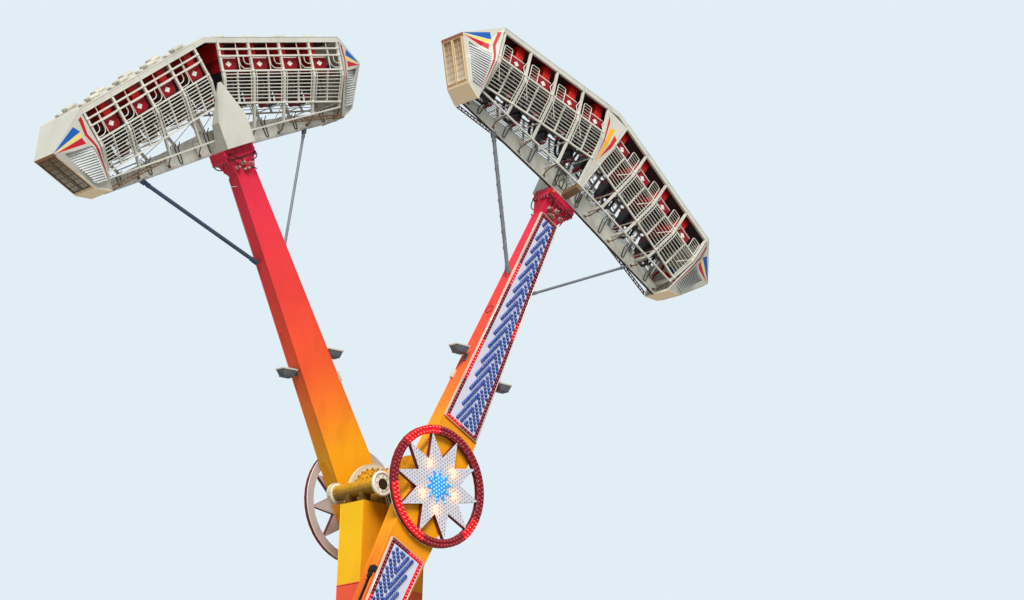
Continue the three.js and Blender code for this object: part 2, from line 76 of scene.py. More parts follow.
def armSize(name):  # how one size of the arm's beam changes along it
    def sizeAt(z):
        end = "Tip" if z > 0 else "End"
        return mix(armShape[name + "Hub"], armShape[name + end], z / armShape[end.lower()])

    return sizeAt


armHalf, armInner, armOuter = (armSize(name) for name in ("half", "inner", "outer"))


def pastFlat(across):  # how far out on the girder's sloping part
    return max(abs(across) - girder["flat"], 0)


def girderUnder(across):
    return girder["under"] - girder["fall"] * pastFlat(across)


def webTop(across):
    return mix(girder["topMid"], girder["topEnd"], pastFlat(across) / (girder["end"] - girder["flat"]))


def roofDepth(out):  # depth at which a line square to the floor meets the girder's top
    slope, (startX, _, startZ) = cab["slope"], cab["start"]
    startFall = girder["fall"] * (startX - girder["flat"] + out * math.cos(slope))
    rise = startZ - out * math.sin(slope) - girder["under"] - girder["depth"] + startFall
    return rise / (math.cos(slope) + girder["fall"] * math.sin(slope))


def skinPoint(face, out, depth, sink=0.0):  # a point on the cage's skin, or sink metres inside it
    inward = 1 if face == "inner" else -1
    share = max(depth - cab["knee"], 0) / (roofDepth(out) - cab["knee"])
    return Vector((out, mix(cab[face], girder[face], share) + inward * sink, -depth))


def skinRoute(face, spots, sink):
    return [skinPoint(face, out, depth, sink) for out, depth in spots]


def spacedOut(low, high, pitch):
    count = max(1, round((high - low) / pitch))
    return [mix(low, high, step / count) for step in range(count + 1)]


def circleTurns(count):
    return [step * 2 * math.pi / count for step in range(count)]


def circle(radius, count, centre):  # a ring of points that faces along Y
    x, y, z = centre
    return [(x + radius * math.sin(turn), y, z + radius * math.cos(turn)) for turn in circleTurns(count)]


# Modelling tools
def deselectAll():
    bpy.ops.object.select_all(action="DESELECT")


def pick(*pieces):
    deselectAll()
    for piece in pieces:
        piece.select_set(True)
    bpy.context.view_layer.objects.active = pieces[0]


def settle():  # the object's place goes into its mesh
    bpy.ops.object.transform_apply(location=True, rotation=True, scale=True)
    return bpy.context.object


def enterEdit():
    bpy.ops.object.mode_set(mode="EDIT")
    bpy.ops.mesh.select_mode(type="FACE")


def leaveEdit():
    bpy.ops.object.mode_set(mode="OBJECT")


def faceOutwards():
    bpy.ops.mesh.select_all(action="SELECT")
    bpy.ops.mesh.normals_make_consistent(inside=False)
    leaveEdit()


def finishWith(piece, kind, **settings):
    pick(piece)
    modifier = piece.modifiers.new(kind.lower(), kind)
    for key, value in settings.items():
        setattr(modifier, key, value)
    bpy.ops.object.modifier_apply(modifier=modifier.name)


def soften(piece, width, segments=2):
    finishWith(piece, "BEVEL", width=width, segments=segments, limit_method="ANGLE", angle_limit=0.6)
    pick(piece)
    bpy.ops.object.shade_smooth_by_angle(angle=0.6)
    return piece


def newBox(low, high, bevel=0.0, segments=2):
    low, high = Vector(low), Vector(high)
    deselectAll()
    bpy.ops.mesh.primitive_cube_add(size=1, location=(low + high) / 2, scale=high - low)
    piece = settle()
    return soften(piece, bevel, segments) if bevel else piece


def boxAt(x, y, z, half, bevel=0.0, segments=1):  # x, y and z are middles, or the low and high ends
    ends = [place if isinstance(place, (tuple, list)) else (place - reach, place + reach)
            for place, reach in zip((x, y, z), half)]
    return newBox([min(pair) for pair in ends], [max(pair) for pair in ends], bevel, segments)


def newRod(start, end, radius, sides=12, endRadius=None):
    start, end = Vector(start), Vector(end)
    axis = end - start
    deselectAll()
    bpy.ops.mesh.primitive_cone_add(
        vertices=sides, radius1=radius, radius2=radius if endRadius is None else endRadius, depth=axis.length,
        location=(start + end) / 2, rotation=axis.to_track_quat("Z", "Y").to_euler())
    settle()
    bpy.ops.object.shade_smooth_by_angle(angle=0.7)
    return bpy.context.object


def newFace(points):
    deselectAll()
    bpy.ops.mesh.primitive_circle_add(vertices=len(points), fill_type="NGON")
    piece = bpy.context.object
    for vertex, point in zip(piece.data.vertices, points):
        vertex.co = point
    return piece


def newPlate(outline, thickness, bevel=0.0):  # an outline of X and Z, drawn out along +Y
    piece = newFace([(x, 0, z) for x, z in outline])
    enterEdit()
    bpy.ops.mesh.select_all(action="SELECT")
    bpy.ops.mesh.extrude_region_move(TRANSFORM_OT_translate={"value": (0, thickness, 0)})
    faceOutwards()
    return soften(piece, bevel) if bevel else piece


def newLoft(sections):  # a face drawn from section to section
    sections = [[Vector(point) for point in section] for section in sections]
    piece = newFace(sections[0])
    for before, section in zip(sections, sections[1:]):
        enterEdit()
        bpy.ops.mesh.extrude_region_move()
        leaveEdit()
        for vertex in piece.data.vertices:
            if vertex.select:
                nearest = min(range(len(before)), key=lambda index: (before[index] - vertex.co).length)
                vertex.co = section[nearest]
    enterEdit()
    faceOutwards()
    return piece


def newTube(routes, radius, sides=8, closed=False):
    deselectAll()
    bpy.ops.curve.primitive_bezier_curve_add()
    line = bpy.context.object
    line.data.splines.clear()
    for route in routes:
        spline = line.data.splines.new("POLY")
        spline.points.add(len(route) - 1)
        for point, place in zip(spline.points, route):
            point.co = (*place, 1)
        spline.use_cyclic_u = closed
    line.data.bevel_depth = radius
    line.data.bevel_resolution = (sides - 4) // 2
    line.data.use_fill_caps = True
    bpy.ops.object.convert(target="MESH")
    bpy.ops.object.shade_smooth_by_angle(angle=0.8)
    return bpy.context.object


def rounded(points, radius, steps=4):  # a route whose corners are small arcs
    points = [Vector(point) for point in points]
    route = [points[0]]
    for before, corner, after in zip(points, points[1:], points[2:]):
        back, ahead = before - corner, after - corner
        reach = min(radius, back.length / 2, ahead.length / 2)
        first, final = corner + back.normalized() * reach, corner + ahead.normalized() * reach
        for step in range(steps + 1):
            share = step / steps
            route.append(first.lerp(corner, share).lerp(corner.lerp(final, share), share))
    return [*route, points[-1]]


def shifted(piece, offset):
    piece.data.transform(Matrix.Translation(offset))
    return piece


def turned(piece, angle):
    piece.data.transform(Matrix.Rotation(angle, 4, "Z"))
    return piece


def joined(pieces):  # one piece from a list of them
    pieces = pieces if isinstance(pieces, list) else [pieces]
    pick(*pieces)
    if len(pieces) > 1:
        bpy.ops.object.join()
    return bpy.context.object


def copied(model, matrix):
    piece = model.copy()
    piece.data = model.data.copy()
    bpy.context.scene.collection.objects.link(piece)
    piece.data.transform(matrix)
    if matrix.determinant() < 0:
        piece.data.flip_normals()
    return piece


def repeated(model, places):  # one mesh with a copy of the model at every place, a point or a matrix
    model = joined(model)
    places = [place if isinstance(place, Matrix) else Matrix.Translation(place) for place in places]
    mesh = model.data
    count = len(mesh.vertices)
    flat = np.empty(count * 3)
    mesh.vertices.foreach_get("co", flat)
    corners = np.c_[flat.reshape(-1, 3), np.ones(count)]
    points = np.concatenate([corners @ np.array(place).T for place in places])[:, :3]
    outlines = [tuple(face.vertices) for face in mesh.polygons]
    faces = [[v + turn * count for v in outline] for turn in range(len(places)) for outline in outlines]
    smooth = [face.use_smooth for face in mesh.polygons] * len(places)
    grown = bpy.data.meshes.new(mesh.name)
    grown.from_pydata(points.tolist(), [], faces)
    grown.polygons.foreach_set("use_smooth", smooth)
    grown.update()
    model.data = grown
    return model


def finishFor(look, arm, *side):  # look makes a finish, or names one in looks, or one for each arm
    if callable(look):
        return look(arm, *side)
    found = looks[look]
    return found[arm] if isinstance(found, dict) else found


def dressed(piece, name, body, finish):
    piece.name = piece.data.name = name
    piece.data.materials.clear()
    piece.data.materials.append(finish.material)
    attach(piece, body)
    return piece


def onBase(model, name, look):
    dressed(joined(model), name, "base", looks[look])


def onArm(arm, piece, name, finish):
    piece.data.transform(armMatrix(arm))
    dressed(piece, f"{arm}_{name}", f"{arm}_arm", finish)


def onArms(model, name, look):  # one copy for each arm
    model = joined(model)
    made = {}
    for arm in armLean:
        piece = copied(model, armMatrix(arm))
        made[arm] = dressed(piece, f"{arm}_{name}", f"{arm}_arm", finishFor(look, arm))
    bpy.data.objects.remove(model)
    return made


def onHalves(model, name, look):  # one copy for each half of each gondola
    model = joined(model)
    made = {}
    for arm, sides in halfSide.items():
        for half, side in sides.items():
            piece = copied(model, armMatrix(arm) @ cabMatrix(side))
            finish = finishFor(look, arm, side)
            made[arm, half] = dressed(piece, f"{arm}_{name}_{half}", f"{arm}_arm", finish)
    bpy.data.objects.remove(model)
    return made


def paintNode(node, finish):
    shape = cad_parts[node]
    shape.data.materials.clear()
    shape.data.materials.append(finish.material)


# Finishes
def tint(*screen):  # screen values of 0 to 255 as the shader's linear ones
    shares = [value / 255 for value in screen]
    return (*(share / 12.92 if share <= 0.04045 else ((share + 0.055) / 1.055) ** 2.4 for share in shares), 1)


class Wire:  # a socket that can stand in a sum
    def __init__(self, finish, socket):
        self.finish = finish
        self.socket = socket

    def maths(self, operation, *values):
        return self.finish.node("ShaderNodeMath", values, operation=operation)

    def __add__(self, other):
        return self.maths("ADD", self, other)

    def __radd__(self, other):
        return self.maths("ADD", other, self)

    def __sub__(self, other):
        return self.maths("SUBTRACT", self, other)

    def __rsub__(self, other):
        return self.maths("SUBTRACT", other, self)

    def __mul__(self, other):
        return self.maths("MULTIPLY", self, other)

    def __gt__(self, other):
        return self.maths("GREATER_THAN", self, other)

    def __lt__(self, other):
        return self.maths("LESS_THAN", self, other)

    def __abs__(self):
        return self.maths("ABSOLUTE", self)

    def length(self, other):
        return self.maths("SQRT", self * self + other * other)

    def isLine(self, pitch, half):  # 1 on lines that lie a pitch apart
        return abs(self.maths("MODULO", self, pitch) - pitch / 2) < half


class Finish:
    def __init__(self, name, colour, roughness=0.5, **sockets):
        self.material = bpy.data.materials.new(name)
        self.material.use_nodes = True
        self.tree = self.material.node_tree
        self.shader = self.tree.nodes["Principled BSDF"]
        self.colour = colour
        self.roughness = roughness
        self.height = None
        for socket, value in sockets.items():
            self.shader.inputs[socket.replace("_", " ")].default_value = value
        self.place = self.node("ShaderNodeTexCoord", output="Object")

    def feed(self, socket, value):
        if isinstance(value, Wire):
            self.tree.links.new(value.socket, socket)
        else:
            socket.default_value = value

    def node(self, kind, inputs=(), output=0, stops=(), **settings):
        made = self.tree.nodes.new(kind)
        for key, value in settings.items():
            setattr(made, key, value)
        for _ in stops[2:]:
            made.color_ramp.elements.new(1)
        for element, (position, colour) in zip(made.color_ramp.elements if stops else (), stops):
            element.position = position
            element.color = colour
        for key, value in inputs.items() if isinstance(inputs, dict) else enumerate(inputs):
            self.feed(made.inputs[key], value)
        return Wire(self, made.outputs[output])

    def blend(self, share, first, second, how="MIX"):
        return self.node("ShaderNodeMix", {0: share, 6: first, 7: second}, 2, data_type="RGBA", blend_type=how)

    def noise(self, scale, detail=3.0, rough=0.5, place=None):
        sockets = {"Vector": place or self.place, "Scale": scale, "Detail": detail, "Roughness": rough}
        return self.node("ShaderNodeTexNoise", sockets)

    def cells(self, scale):
        return self.node("ShaderNodeTexVoronoi", {"Vector": self.place, "Scale": scale}, "Distance")

    def steps(self, value, low, high, bottom=0.0, top=1.0):  # a value mapped from low..high to bottom..top
        return self.node("ShaderNodeMapRange", [value, low, high, bottom, top])

    def axesOf(self, vector):
        split = self.node("ShaderNodeSeparateXYZ", [vector]).socket.node
        return [Wire(self, split.outputs[axis]) for axis in range(3)]

    def axesIn(self, location, turn, scale=(1, 1, 1)):
        sockets = {"Vector": self.place, "Location": location, "Rotation": turn, "Scale": scale}
        return self.axesOf(self.node("ShaderNodeMapping", sockets, vector_type="TEXTURE"))

    def armAxes(self, arm):
        turn = Euler((0, -armLean[arm], math.pi) if arm == "front" else (0, armLean[arm], 0))
        return self.axesIn((0, 0, hubHeight), turn)

    def cabAxes(self, arm, side):
        matrix = armMatrix(arm) @ cabMatrix(side)
        straight = matrix @ Matrix.Diagonal((side, 1, 1, 1))
        return self.axesIn(matrix.translation, straight.to_euler(), (side, 1, 1))

    def paint(self, mask, colour):  # lays a colour over what is there
        self.colour = self.blend(mask, self.colour, colour)
        return self

    def fade(self, amount=0.12, scale=0.9):  # patches of lighter and darker paint
        patch = self.steps(self.noise(scale, 4.0, 0.6), 0.3, 0.7, 1 - amount, 1 + amount * 0.4)
        grey = self.node("ShaderNodeCombineColor", [patch, patch, patch])
        self.colour = self.blend(1.0, self.colour, grey, "MULTIPLY")
        return self

    def grime(self, amount, scale=3.0, colour=tint(60, 48, 36), stretch=(1, 1, 0.25)):  # dirt that runs down
        stretched = self.node("ShaderNodeMapping", {"Vector": self.place, "Scale": stretch})
        mask = self.steps(self.noise(scale, 6.0, 0.65, stretched), 0.5, 0.78, 0.0, amount)
        self.roughness = mask * 0.4 + self.roughness
        return self.paint(mask, colour)

    def specks(self, amount=0.8, scale=40.0, colour=tint(40, 34, 28), share=0.1):  # chips and spots
        mask = (self.cells(scale) < share) * self.steps(self.noise(scale / 9), 0.45, 0.6, 0.0, amount)
        return self.paint(mask, colour)

    def peel(self, strength=0.08, scale=60.0, distance=0.002):  # the fine relief of paint or casting
        return self.relief(self.noise(scale, 2.0), strength, distance)

    def relief(self, height, strength=0.5, distance=0.004):
        sockets = {"Height": height, "Strength": strength, "Distance": distance}
        if self.height is not None:
            sockets["Normal"] = self.height
        self.height = self.node("ShaderNodeBump", sockets)
        return self

    def glow(self, colour):
        self.feed(self.shader.inputs["Emission Color"], colour)

    def done(self):
        self.feed(self.shader.inputs["Base Color"], self.colour)
        self.feed(self.shader.inputs["Roughness"], self.roughness)
        if self.height is not None:
            self.feed(self.shader.inputs["Normal"], self.height)
        return self


def triangle(s, d, corners):  # 1 inside a triangle of the plane that two wires span
    mask = None
    (x0, y0), (x1, y1), (x2, y2) = corners
    facing = 1 if (x1 - x0) * (y2 - y0) > (x2 - x0) * (y1 - y0) else -1
    for (ax, ay), (bx, by) in zip(corners, corners[1:] + corners[:1]):
        across, along = facing * (ay - by), facing * (bx - ax)
        inside = (s * across + d * along) > (across * ax + along * ay)
        mask = inside if mask is None else mask * inside
    return mask


black, cream = tint(0, 0, 0), tint(205, 203, 192)
armColours = [  # along an arm, from its counterweight to its tip
    (0.0, tint(214, 74, 30)), (0.17, tint(226, 104, 20)), (0.30, tint(240, 160, 12)),
    (0.47, tint(240, 160, 20)), (0.54, tint(236, 122, 36)), (0.62, tint(236, 88, 44)),
    (0.75, tint(234, 66, 58)), (0.90, tint(228, 50, 72)), (1.0, tint(214, 36, 70)),
]


def armPaint(arm):
    finish = Finish(f"{arm}_arm_paint", None, 0.42, Specular_IOR_Level=0.2)
    along = finish.armAxes(arm)[2] + finish.noise(0.7, 3.0) * 0.5
    finish.colour = finish.node("ShaderNodeValToRGB", [finish.steps(along, -4.85, 8.65)], stops=armColours)
    return finish.fade(0.08, 0.8).grime(0.2, 2.2).specks(0.5, 26.0, tint(70, 50, 40), 0.07).peel().done()


def plainPaint(name, colour, roughness=0.45, fade=0.1, grime=0.3, speck=0.4, **sockets):
    finish = Finish(name, tint(*colour), roughness, **{"Specular_IOR_Level": 0.3, **sockets})
    return finish.fade(fade).grime(grime).specks(speck, 30.0, share=0.08).peel().done()


def counterweightPaint(arm):
    finish = Finish(f"{arm}_counterweight_paint", tint(240, 96, 26), 0.45, Specular_IOR_Level=0.25)
    z = finish.armAxes(arm)[2]
    finish.paint(finish.steps(z, -6.1, -4.0, 0.7, 0.0), tint(214, 48, 36))
    finish.fade(0.12).grime(0.4).specks(0.5, 22.0, share=0.1)
    slabs = (z * -1.0).isLine(0.3, 0.006)
    finish.paint(slabs * 0.8, tint(70, 30, 20))
    return finish.relief(1 - slabs, 0.6, 0.01).peel().done()


def panelBoard(arm, panel):  # white field in a crimson border, with a painted red glow where the border's bulbs are lit
    sockets = {"Specular_IOR_Level": 0.3, "Emission_Strength": 0.45}
    finish = Finish(f"{arm}_light_board", tint(206, 206, 222), 0.4, **sockets)
    x, y, z = finish.armAxes(arm)
    low, high, border = panel["from"], panel["to"], lights["border"]
    half = finish.steps(z, low, high, panel["halfFrom"], panel["halfTo"])
    edge = (((half - abs(x)) < border) + (z < low + border) + (z > high - border)) > 0.5
    lit = isLit(x, z) * edge
    # painted glow: lit stretches of the border are painted bright red and glow, for the light of their bulbs
    finish.fade(0.06, 2.0).grime(0.12, 4.0).paint(edge, tint(120, 8, 22)).paint(lit, tint(200, 6, 12))
    finish.glow(finish.blend(lit, black, tint(216, 6, 14)))
    return finish.peel(0.05).done()


def wheelBoard(arm):
    sockets = {"Specular_IOR_Level": 0.3, "Emission_Strength": 0.6}
    finish = Finish(f"{arm}_wheel_board", tint(182, 168, 166), 0.45, **sockets)
    x, y, z = finish.armAxes(arm)
    radius = x.length(z)
    across, up = seenFrom(x, z)
    angle = up.maths("ARCTAN2", up, across) * (180 / math.pi)
    ringFrom = 1.163
    ring = (radius > ringFrom) * (y > 1.47)
    # painted glow on the ring where its bulbs are lit
    lit = ringIsLit(angle + (angle < 0) * 360) * ring
    star = (y > 1.4755) * (radius < ringFrom)
    finish.fade(0.08, 2.0).grime(0.2, 4.0)
    finish.paint(y > 1.378, tint(112, 26, 34)).paint(ring, tint(140, 10, 26)).paint(lit, tint(200, 6, 12))
    finish.paint(star, tint(206, 203, 210))
    shine = finish.blend(lit, black, tint(200, 6, 12))
    # painted warm pools of light, which also glow, on the star around the warm bulbs
    for spotAcross, spotUp in warmSpots:
        warm = finish.steps((across - spotAcross).length(up - spotUp), 0.04, 0.24, 1.0, 0.0) * star
        finish.paint(warm * 0.9, tint(250, 200, 165))
        shine = finish.blend(warm * 0.55, shine, tint(255, 205, 170))
    finish.glow(shine)
    return finish.peel(0.06).done()


def creamPaint(name, arm=None):  # with an arm, for its roof girder, which has a brown stay and painted shade on its underside
    finish = Finish(name, cream, 0.48, Specular_IOR_Level=0.3)
    finish.fade(0.1).grime(0.3, 2.6, tint(98, 88, 72)).specks(0.35, 28.0, share=0.07)
    if arm:
        x, y, z = finish.armAxes(arm)
        under = finish.steps(abs(x), girder["flat"], girder["end"], girder["under"], girderUnder(girder["end"]))
        finish.paint((y > 1.4805) * (abs(x) < 0.0915) * (z < 8.7), tint(128, 104, 76))
        # painted shade on the girder's underside
        finish.paint(z < under + 0.002, tint(56, 42, 38))
        finish.paint((abs(x) + 0.3).isLine(0.9, 0.004) * 0.6, tint(110, 104, 92))
    return finish.peel().done()


def floorPaint(arm, side):  # cream outside, and painted shade on the inner face between the rims, where the riders' feet are
    finish = Finish(f"{arm}_floor_paint", cream, 0.5)
    out, y, up = finish.cabAxes(arm, side)
    finish.fade(0.08).grime(0.28, 2.6, tint(98, 88, 72))
    inside = (up < 0.0843) * (abs(y - cab["middle"]) < 0.6712)
    # painted shade: the floor's inner face between the rims is painted dark
    finish.paint(inside, tint(44, 20, 22))
    finish.paint((out + 0.45).isLine(0.9, 0.006) * (1 - inside) * 0.5, tint(100, 94, 84))
    return finish.specks(0.35, 28.0, share=0.07).peel().done()


noseFlags = [  # triangles that spread from the nose's front corner towards the cage, as (out, depth)
    (tint(24, 92, 178), [(4.52, 0.43), (3.93, 0.13), (3.84, 0.30)]),
    (tint(240, 214, 110), [(4.50, 0.445), (3.86, 0.32), (3.84, 0.41)]),
    (tint(196, 26, 34), [(4.48, 0.46), (3.87, 0.43), (3.85, 0.58)]),
]
wedgeFlames = [  # long triangles that rise from the wedge's middle, as (across, along) seen from outside
    (tint(196, 36, 30), [(-0.03, 9.36), (-0.26, 10.64), (-0.17, 10.50)]),
    (tint(250, 176, 40), [(-0.01, 9.26), (-0.11, 10.34), (0.05, 10.44)]),
    (tint(204, 44, 30), [(0.02, 9.50), (0.10, 10.30), (0.24, 10.22)]),
]


def nosePaint(arm, side):  # cream sides with flags and a stripe, and a beige front
    finish = Finish(f"{arm}_nose_paint", cream, 0.48, Specular_IOR_Level=0.3)
    s, y, up = finish.cabAxes(arm, side)
    depth = up * -1.0
    finish.fade(0.08).grime(0.25, 3.0, tint(110, 92, 66))
    flank = (depth > (s - cab["end"]) * 0.489 + 0.004) * (abs(y - cab["middle"]) > 0.30)
    for colour, corners in noseFlags:
        finish.paint(triangle(s, depth, corners) * flank, colour)
    bend = 0
    for low, high, start, end in ((0.12, 0.42, -0.04, 0.0), (0.42, 0.70, 0.0, -0.065), (0.7, 1.3, 0.0, -0.03)):
        bend = bend + finish.steps(depth, low, high, start, end)
    stripe = abs(s - 3.765 - bend) < (0.040 - depth * 0.024)
    finish.paint(stripe * flank, tint(190, 30, 28))
    front = (s > (4.508 - (depth - 0.427) * 0.4823)) * (depth > 0.40)
    # painted light: the foot, which faces down, is painted very pale to offset its shade
    foot = depth > (1.731 - (s - cab["end"]) * 0.668)
    finish.paint(front, tint(222, 192, 150)).paint(foot, tint(255, 230, 190))
    finish.paint(front * (depth < 0.515), tint(158, 108, 78))
    return finish.specks(0.35, 30.0, share=0.07).peel().done()


def wedgePaint(arm):
    finish = Finish(f"{arm}_wedge_paint", cream, 0.45, Specular_IOR_Level=0.3)
    x, y, z = finish.armAxes(arm)
    across = x * (-1.0 if arm == "front" else 1.0)
    finish.fade(0.07).grime(0.2, 3.0, tint(110, 92, 66))
    for colour, corners in wedgeFlames:
        finish.paint(triangle(across, z, corners), colour)
    return finish.specks(0.3, 30.0, share=0.07).peel().done()


def greasyYellowShadedUnder(name, amount, rimRadius=9.0, capFrom=9.0):  # cream far rim and end caps, grease patches, and painted shade on the underside
    finish = Finish(name, tint(216, 156, 18), 0.45, Specular_IOR_Level=0.35)
    finish.fade(0.25, 2.5).grime(0.7, 5.0, tint(84, 60, 20), (1, 1, 1))
    finish.specks(0.95, 17.0, tint(28, 22, 14), 0.22)
    finish.paint(finish.steps(finish.noise(9.0, 5.0, 0.7), 0.58, 0.64, 0.0, amount), tint(40, 31, 18))
    x, y, z = finish.axesOf(finish.place)
    height = z - hubHeight
    # painted shade: darker towards the underside
    finish.paint(finish.steps(height, -0.22, 0.04, 0.85, 0.0), tint(44, 32, 18))
    pale = (x.length(height) > rimRadius) * (y > 0) + (abs(y) > capFrom)
    return finish.paint(pale * 0.85, tint(212, 202, 180)).peel(0.2, 40.0).done()


def mastPaint(name, top, bottom, low, high):  # the side that faces the front arm is darker, a painted shade
    finish = Finish(name, None, 0.45, Specular_IOR_Level=0.2)
    x, y, z = finish.axesOf(finish.place)
    share = finish.steps(z + finish.noise(0.8, 3.0) * 0.6, low, high)
    finish.colour = finish.blend(share, bottom, top)
    # painted shade on the side that faces the front arm
    finish.paint((y < -0.384) * 0.5, tint(206, 84, 16))
    return finish.fade(0.1, 0.7).grime(0.25, 2.0).specks(0.5, 24.0, share=0.08).peel().done()


def bulb(name, colour, glow=0.0, glint=0.1):
    colour = tint(*colour)
    finish = Finish(name, colour, 0.28, Specular_IOR_Level=0.4, Emission_Strength=glow)
    finish.paint(finish.steps(finish.noise(30.0, 2.0), 0.4, 0.7, 0.0, glint), tint(250, 250, 250))
    finish.glow(colour)
    return finish.done()


def gloss(name, colour, roughness, **sockets):
    return Finish(name, tint(*colour), roughness, **sockets).fade(0.1, 3.0).grime(0.2, 6.0).peel(0.05).done()


def padVinyl(name, colour):
    finish = Finish(name, tint(*colour), 0.55, Sheen_Weight=0.25, Coat_Weight=0.05)
    finish.fade(0.2, 5.0).grime(0.25, 8.0, tint(110, 100, 88))
    return finish.relief(finish.cells(260.0), 0.35, 0.001).done()


def bareSteel(name, colour, roughness):
    finish = Finish(name, tint(*colour), roughness, Metallic=0.85)
    rust = finish.steps(finish.noise(14.0, 6.0, 0.7), 0.56, 0.7, 0.0, 0.6)
    return finish.fade(0.15, 6.0).paint(rust, tint(112, 70, 42)).peel(0.1, 90.0).done()


def seatPaint(arm, side):  # crimson boxes on red pedestals; the backs are dark up to their crimson heads
    finish = Finish(f"{arm}_seat_paint", tint(150, 12, 24), 0.42, Specular_IOR_Level=0.3)
    up = finish.cabAxes(arm, side)[2]
    finish.paint(up > -0.335, tint(212, 30, 22)).paint((up < -0.625) * (up > -1.12), tint(32, 28, 30))
    return finish.fade(0.15, 2.0).grime(0.2, 5.0).peel(0.05).done()


# the rear gondola's panes are a darker, painted-shade copy of the front's
paneColours = {
    "front": (tint(190, 150, 104), tint(235, 228, 210)), "rear": (tint(150, 116, 80), tint(208, 198, 178)),
}


def panePaint(arm, side):  # nearly opaque sheet, tan at the floor side and paler towards the girder
    finish = Finish(f"{arm}_nose_pane", None, 0.35, Specular_IOR_Level=0.5, Alpha=0.9)
    up = finish.cabAxes(arm, side)[2]
    finish.colour = finish.blend(finish.steps(up * -1.0, 0.5, 1.4), *paneColours[arm])
    return finish.fade(0.06, 3.0).grime(0.12, 5.0).done()


print("finishes defined")


# Seats
seat = {
    "sides": (0.920, 2.190), "from": 0.07, "to": 0.52, "pan": -0.33, "panUnder": -0.47, "low": -0.62,
    "wall": 0.035, "pedestal": (0.07, 0.30), "pedestalEdge": 0.065, "floor": 0.083,
    "backFrom": 0.06, "backTo": 0.155, "shoulder": -0.90, "top": -1.25, "shoulderHalf": 0.262,
    "headHalf": 0.15, "headShift": 0.015, "mark": 0.085,
}
restraint = {  # "apart" is from the head's middle to a tube, "grip" and "lap" are a handle and a bar at the chest
    "bar": -1.205, "barHalf": 0.15, "barRadius": 0.026, "apart": 0.085, "foot": 0.10, "padFrom": 0.19,
    "padRadius": 0.034, "tubeRadius": 0.020, "gripRadius": 0.011, "lap": (0.455, -0.745), "lapHalf": 0.13,
    "lapRadius": 0.038, "brackets": ((-0.10, -0.06), (0.06, 0.10)),
}
seatRows = [(row * cab["bay"], 0, 0) for row in range(cab["bays"])]


def seatMiddles():  # the middle of each seat, the middle of its head, and its side
    inner, outer = seat["sides"]
    quarter = (outer - inner) / 4
    return [(y, y - side * seat["headShift"], side) for y, side in ((inner + quarter, -1), (outer - quarter, 1))]


def makeSeatShells():
    (inner, outer), wall = seat["sides"], seat["wall"]
    first, last, pan, low = (seat[key] for key in ("from", "to", "pan", "low"))
    outline = [(first, pan), (last, pan), (last, low + 0.10), (last - 0.03, low + 0.03), (last - 0.10, low),
               (first + 0.08, low), (first + 0.02, low + 0.03), (first, low + 0.09)]
    parts = [shifted(newPlate(outline, wall, 0.009), (0, y, 0))
             for y in (inner, (inner + outer - wall) / 2, outer - wall)]
    under, over = (first + 0.004, inner + 0.01, seat["panUnder"]), (last - 0.006, outer - 0.01, pan - 0.004)
    parts.append(newBox(under, over, 0.02))
    edge, (pedestalFrom, pedestalTo) = seat["pedestalEdge"], seat["pedestal"]
    parts.append(newBox((pedestalFrom, inner + edge, -0.36), (pedestalTo, outer - edge, seat["floor"]), 0.015))
    half, neck, top = seat["shoulderHalf"], seat["headHalf"], seat["top"]
    for y, head, _ in seatMiddles():
        rise = [(y, half, -0.44), (y, half, seat["shoulder"]), (y, half - 0.05, -0.97), (head, neck, -1.02),
                (head, neck, top + 0.05), (head, neck - 0.05, top)]
        left, right = ([(middle + side * reach, z) for middle, reach, z in rise] for side in bothSides)
        plate = newPlate(left[:1] + right + left[:0:-1], seat["backTo"] - seat["backFrom"] - 0.03, 0.014)
        parts.append(shifted(turned(plate, math.pi / 2), (seat["backTo"] - 0.03, 0, 0)))
    for (arm, half), piece in onHalves(repeated(parts, seatRows), "seat_shells", seatPaint).items():
        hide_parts(f"{arm}_seats_{half}")


def crowned(low, high, cuts, crown, axis):  # a pad that swells towards one side and pulls in between its corners
    piece = newBox(low, high)
    enterEdit()
    bpy.ops.mesh.select_all(action="SELECT")
    bpy.ops.mesh.subdivide(number_cuts=cuts)
    leaveEdit()
    centre, size = (Vector(low) + Vector(high)) / 2, (Vector(high) - Vector(low)) / 2
    others = [index for index in range(3) if index != axis]
    for vertex in piece.data.vertices:
        share = [(vertex.co[index] - centre[index]) / size[index] for index in range(3)]
        dome = (1 - share[others[0]] ** 4) * (1 - share[others[1]] ** 4)
        vertex.co[axis] += crown * dome * share[axis]
        for this, other in (others, others[::-1]):
            vertex.co[this] -= 0.012 * share[this] * (1 - share[other] ** 2)
    finishWith(piece, "SUBSURF", levels=1, render_levels=1)
    bpy.ops.object.shade_smooth()
    return piece


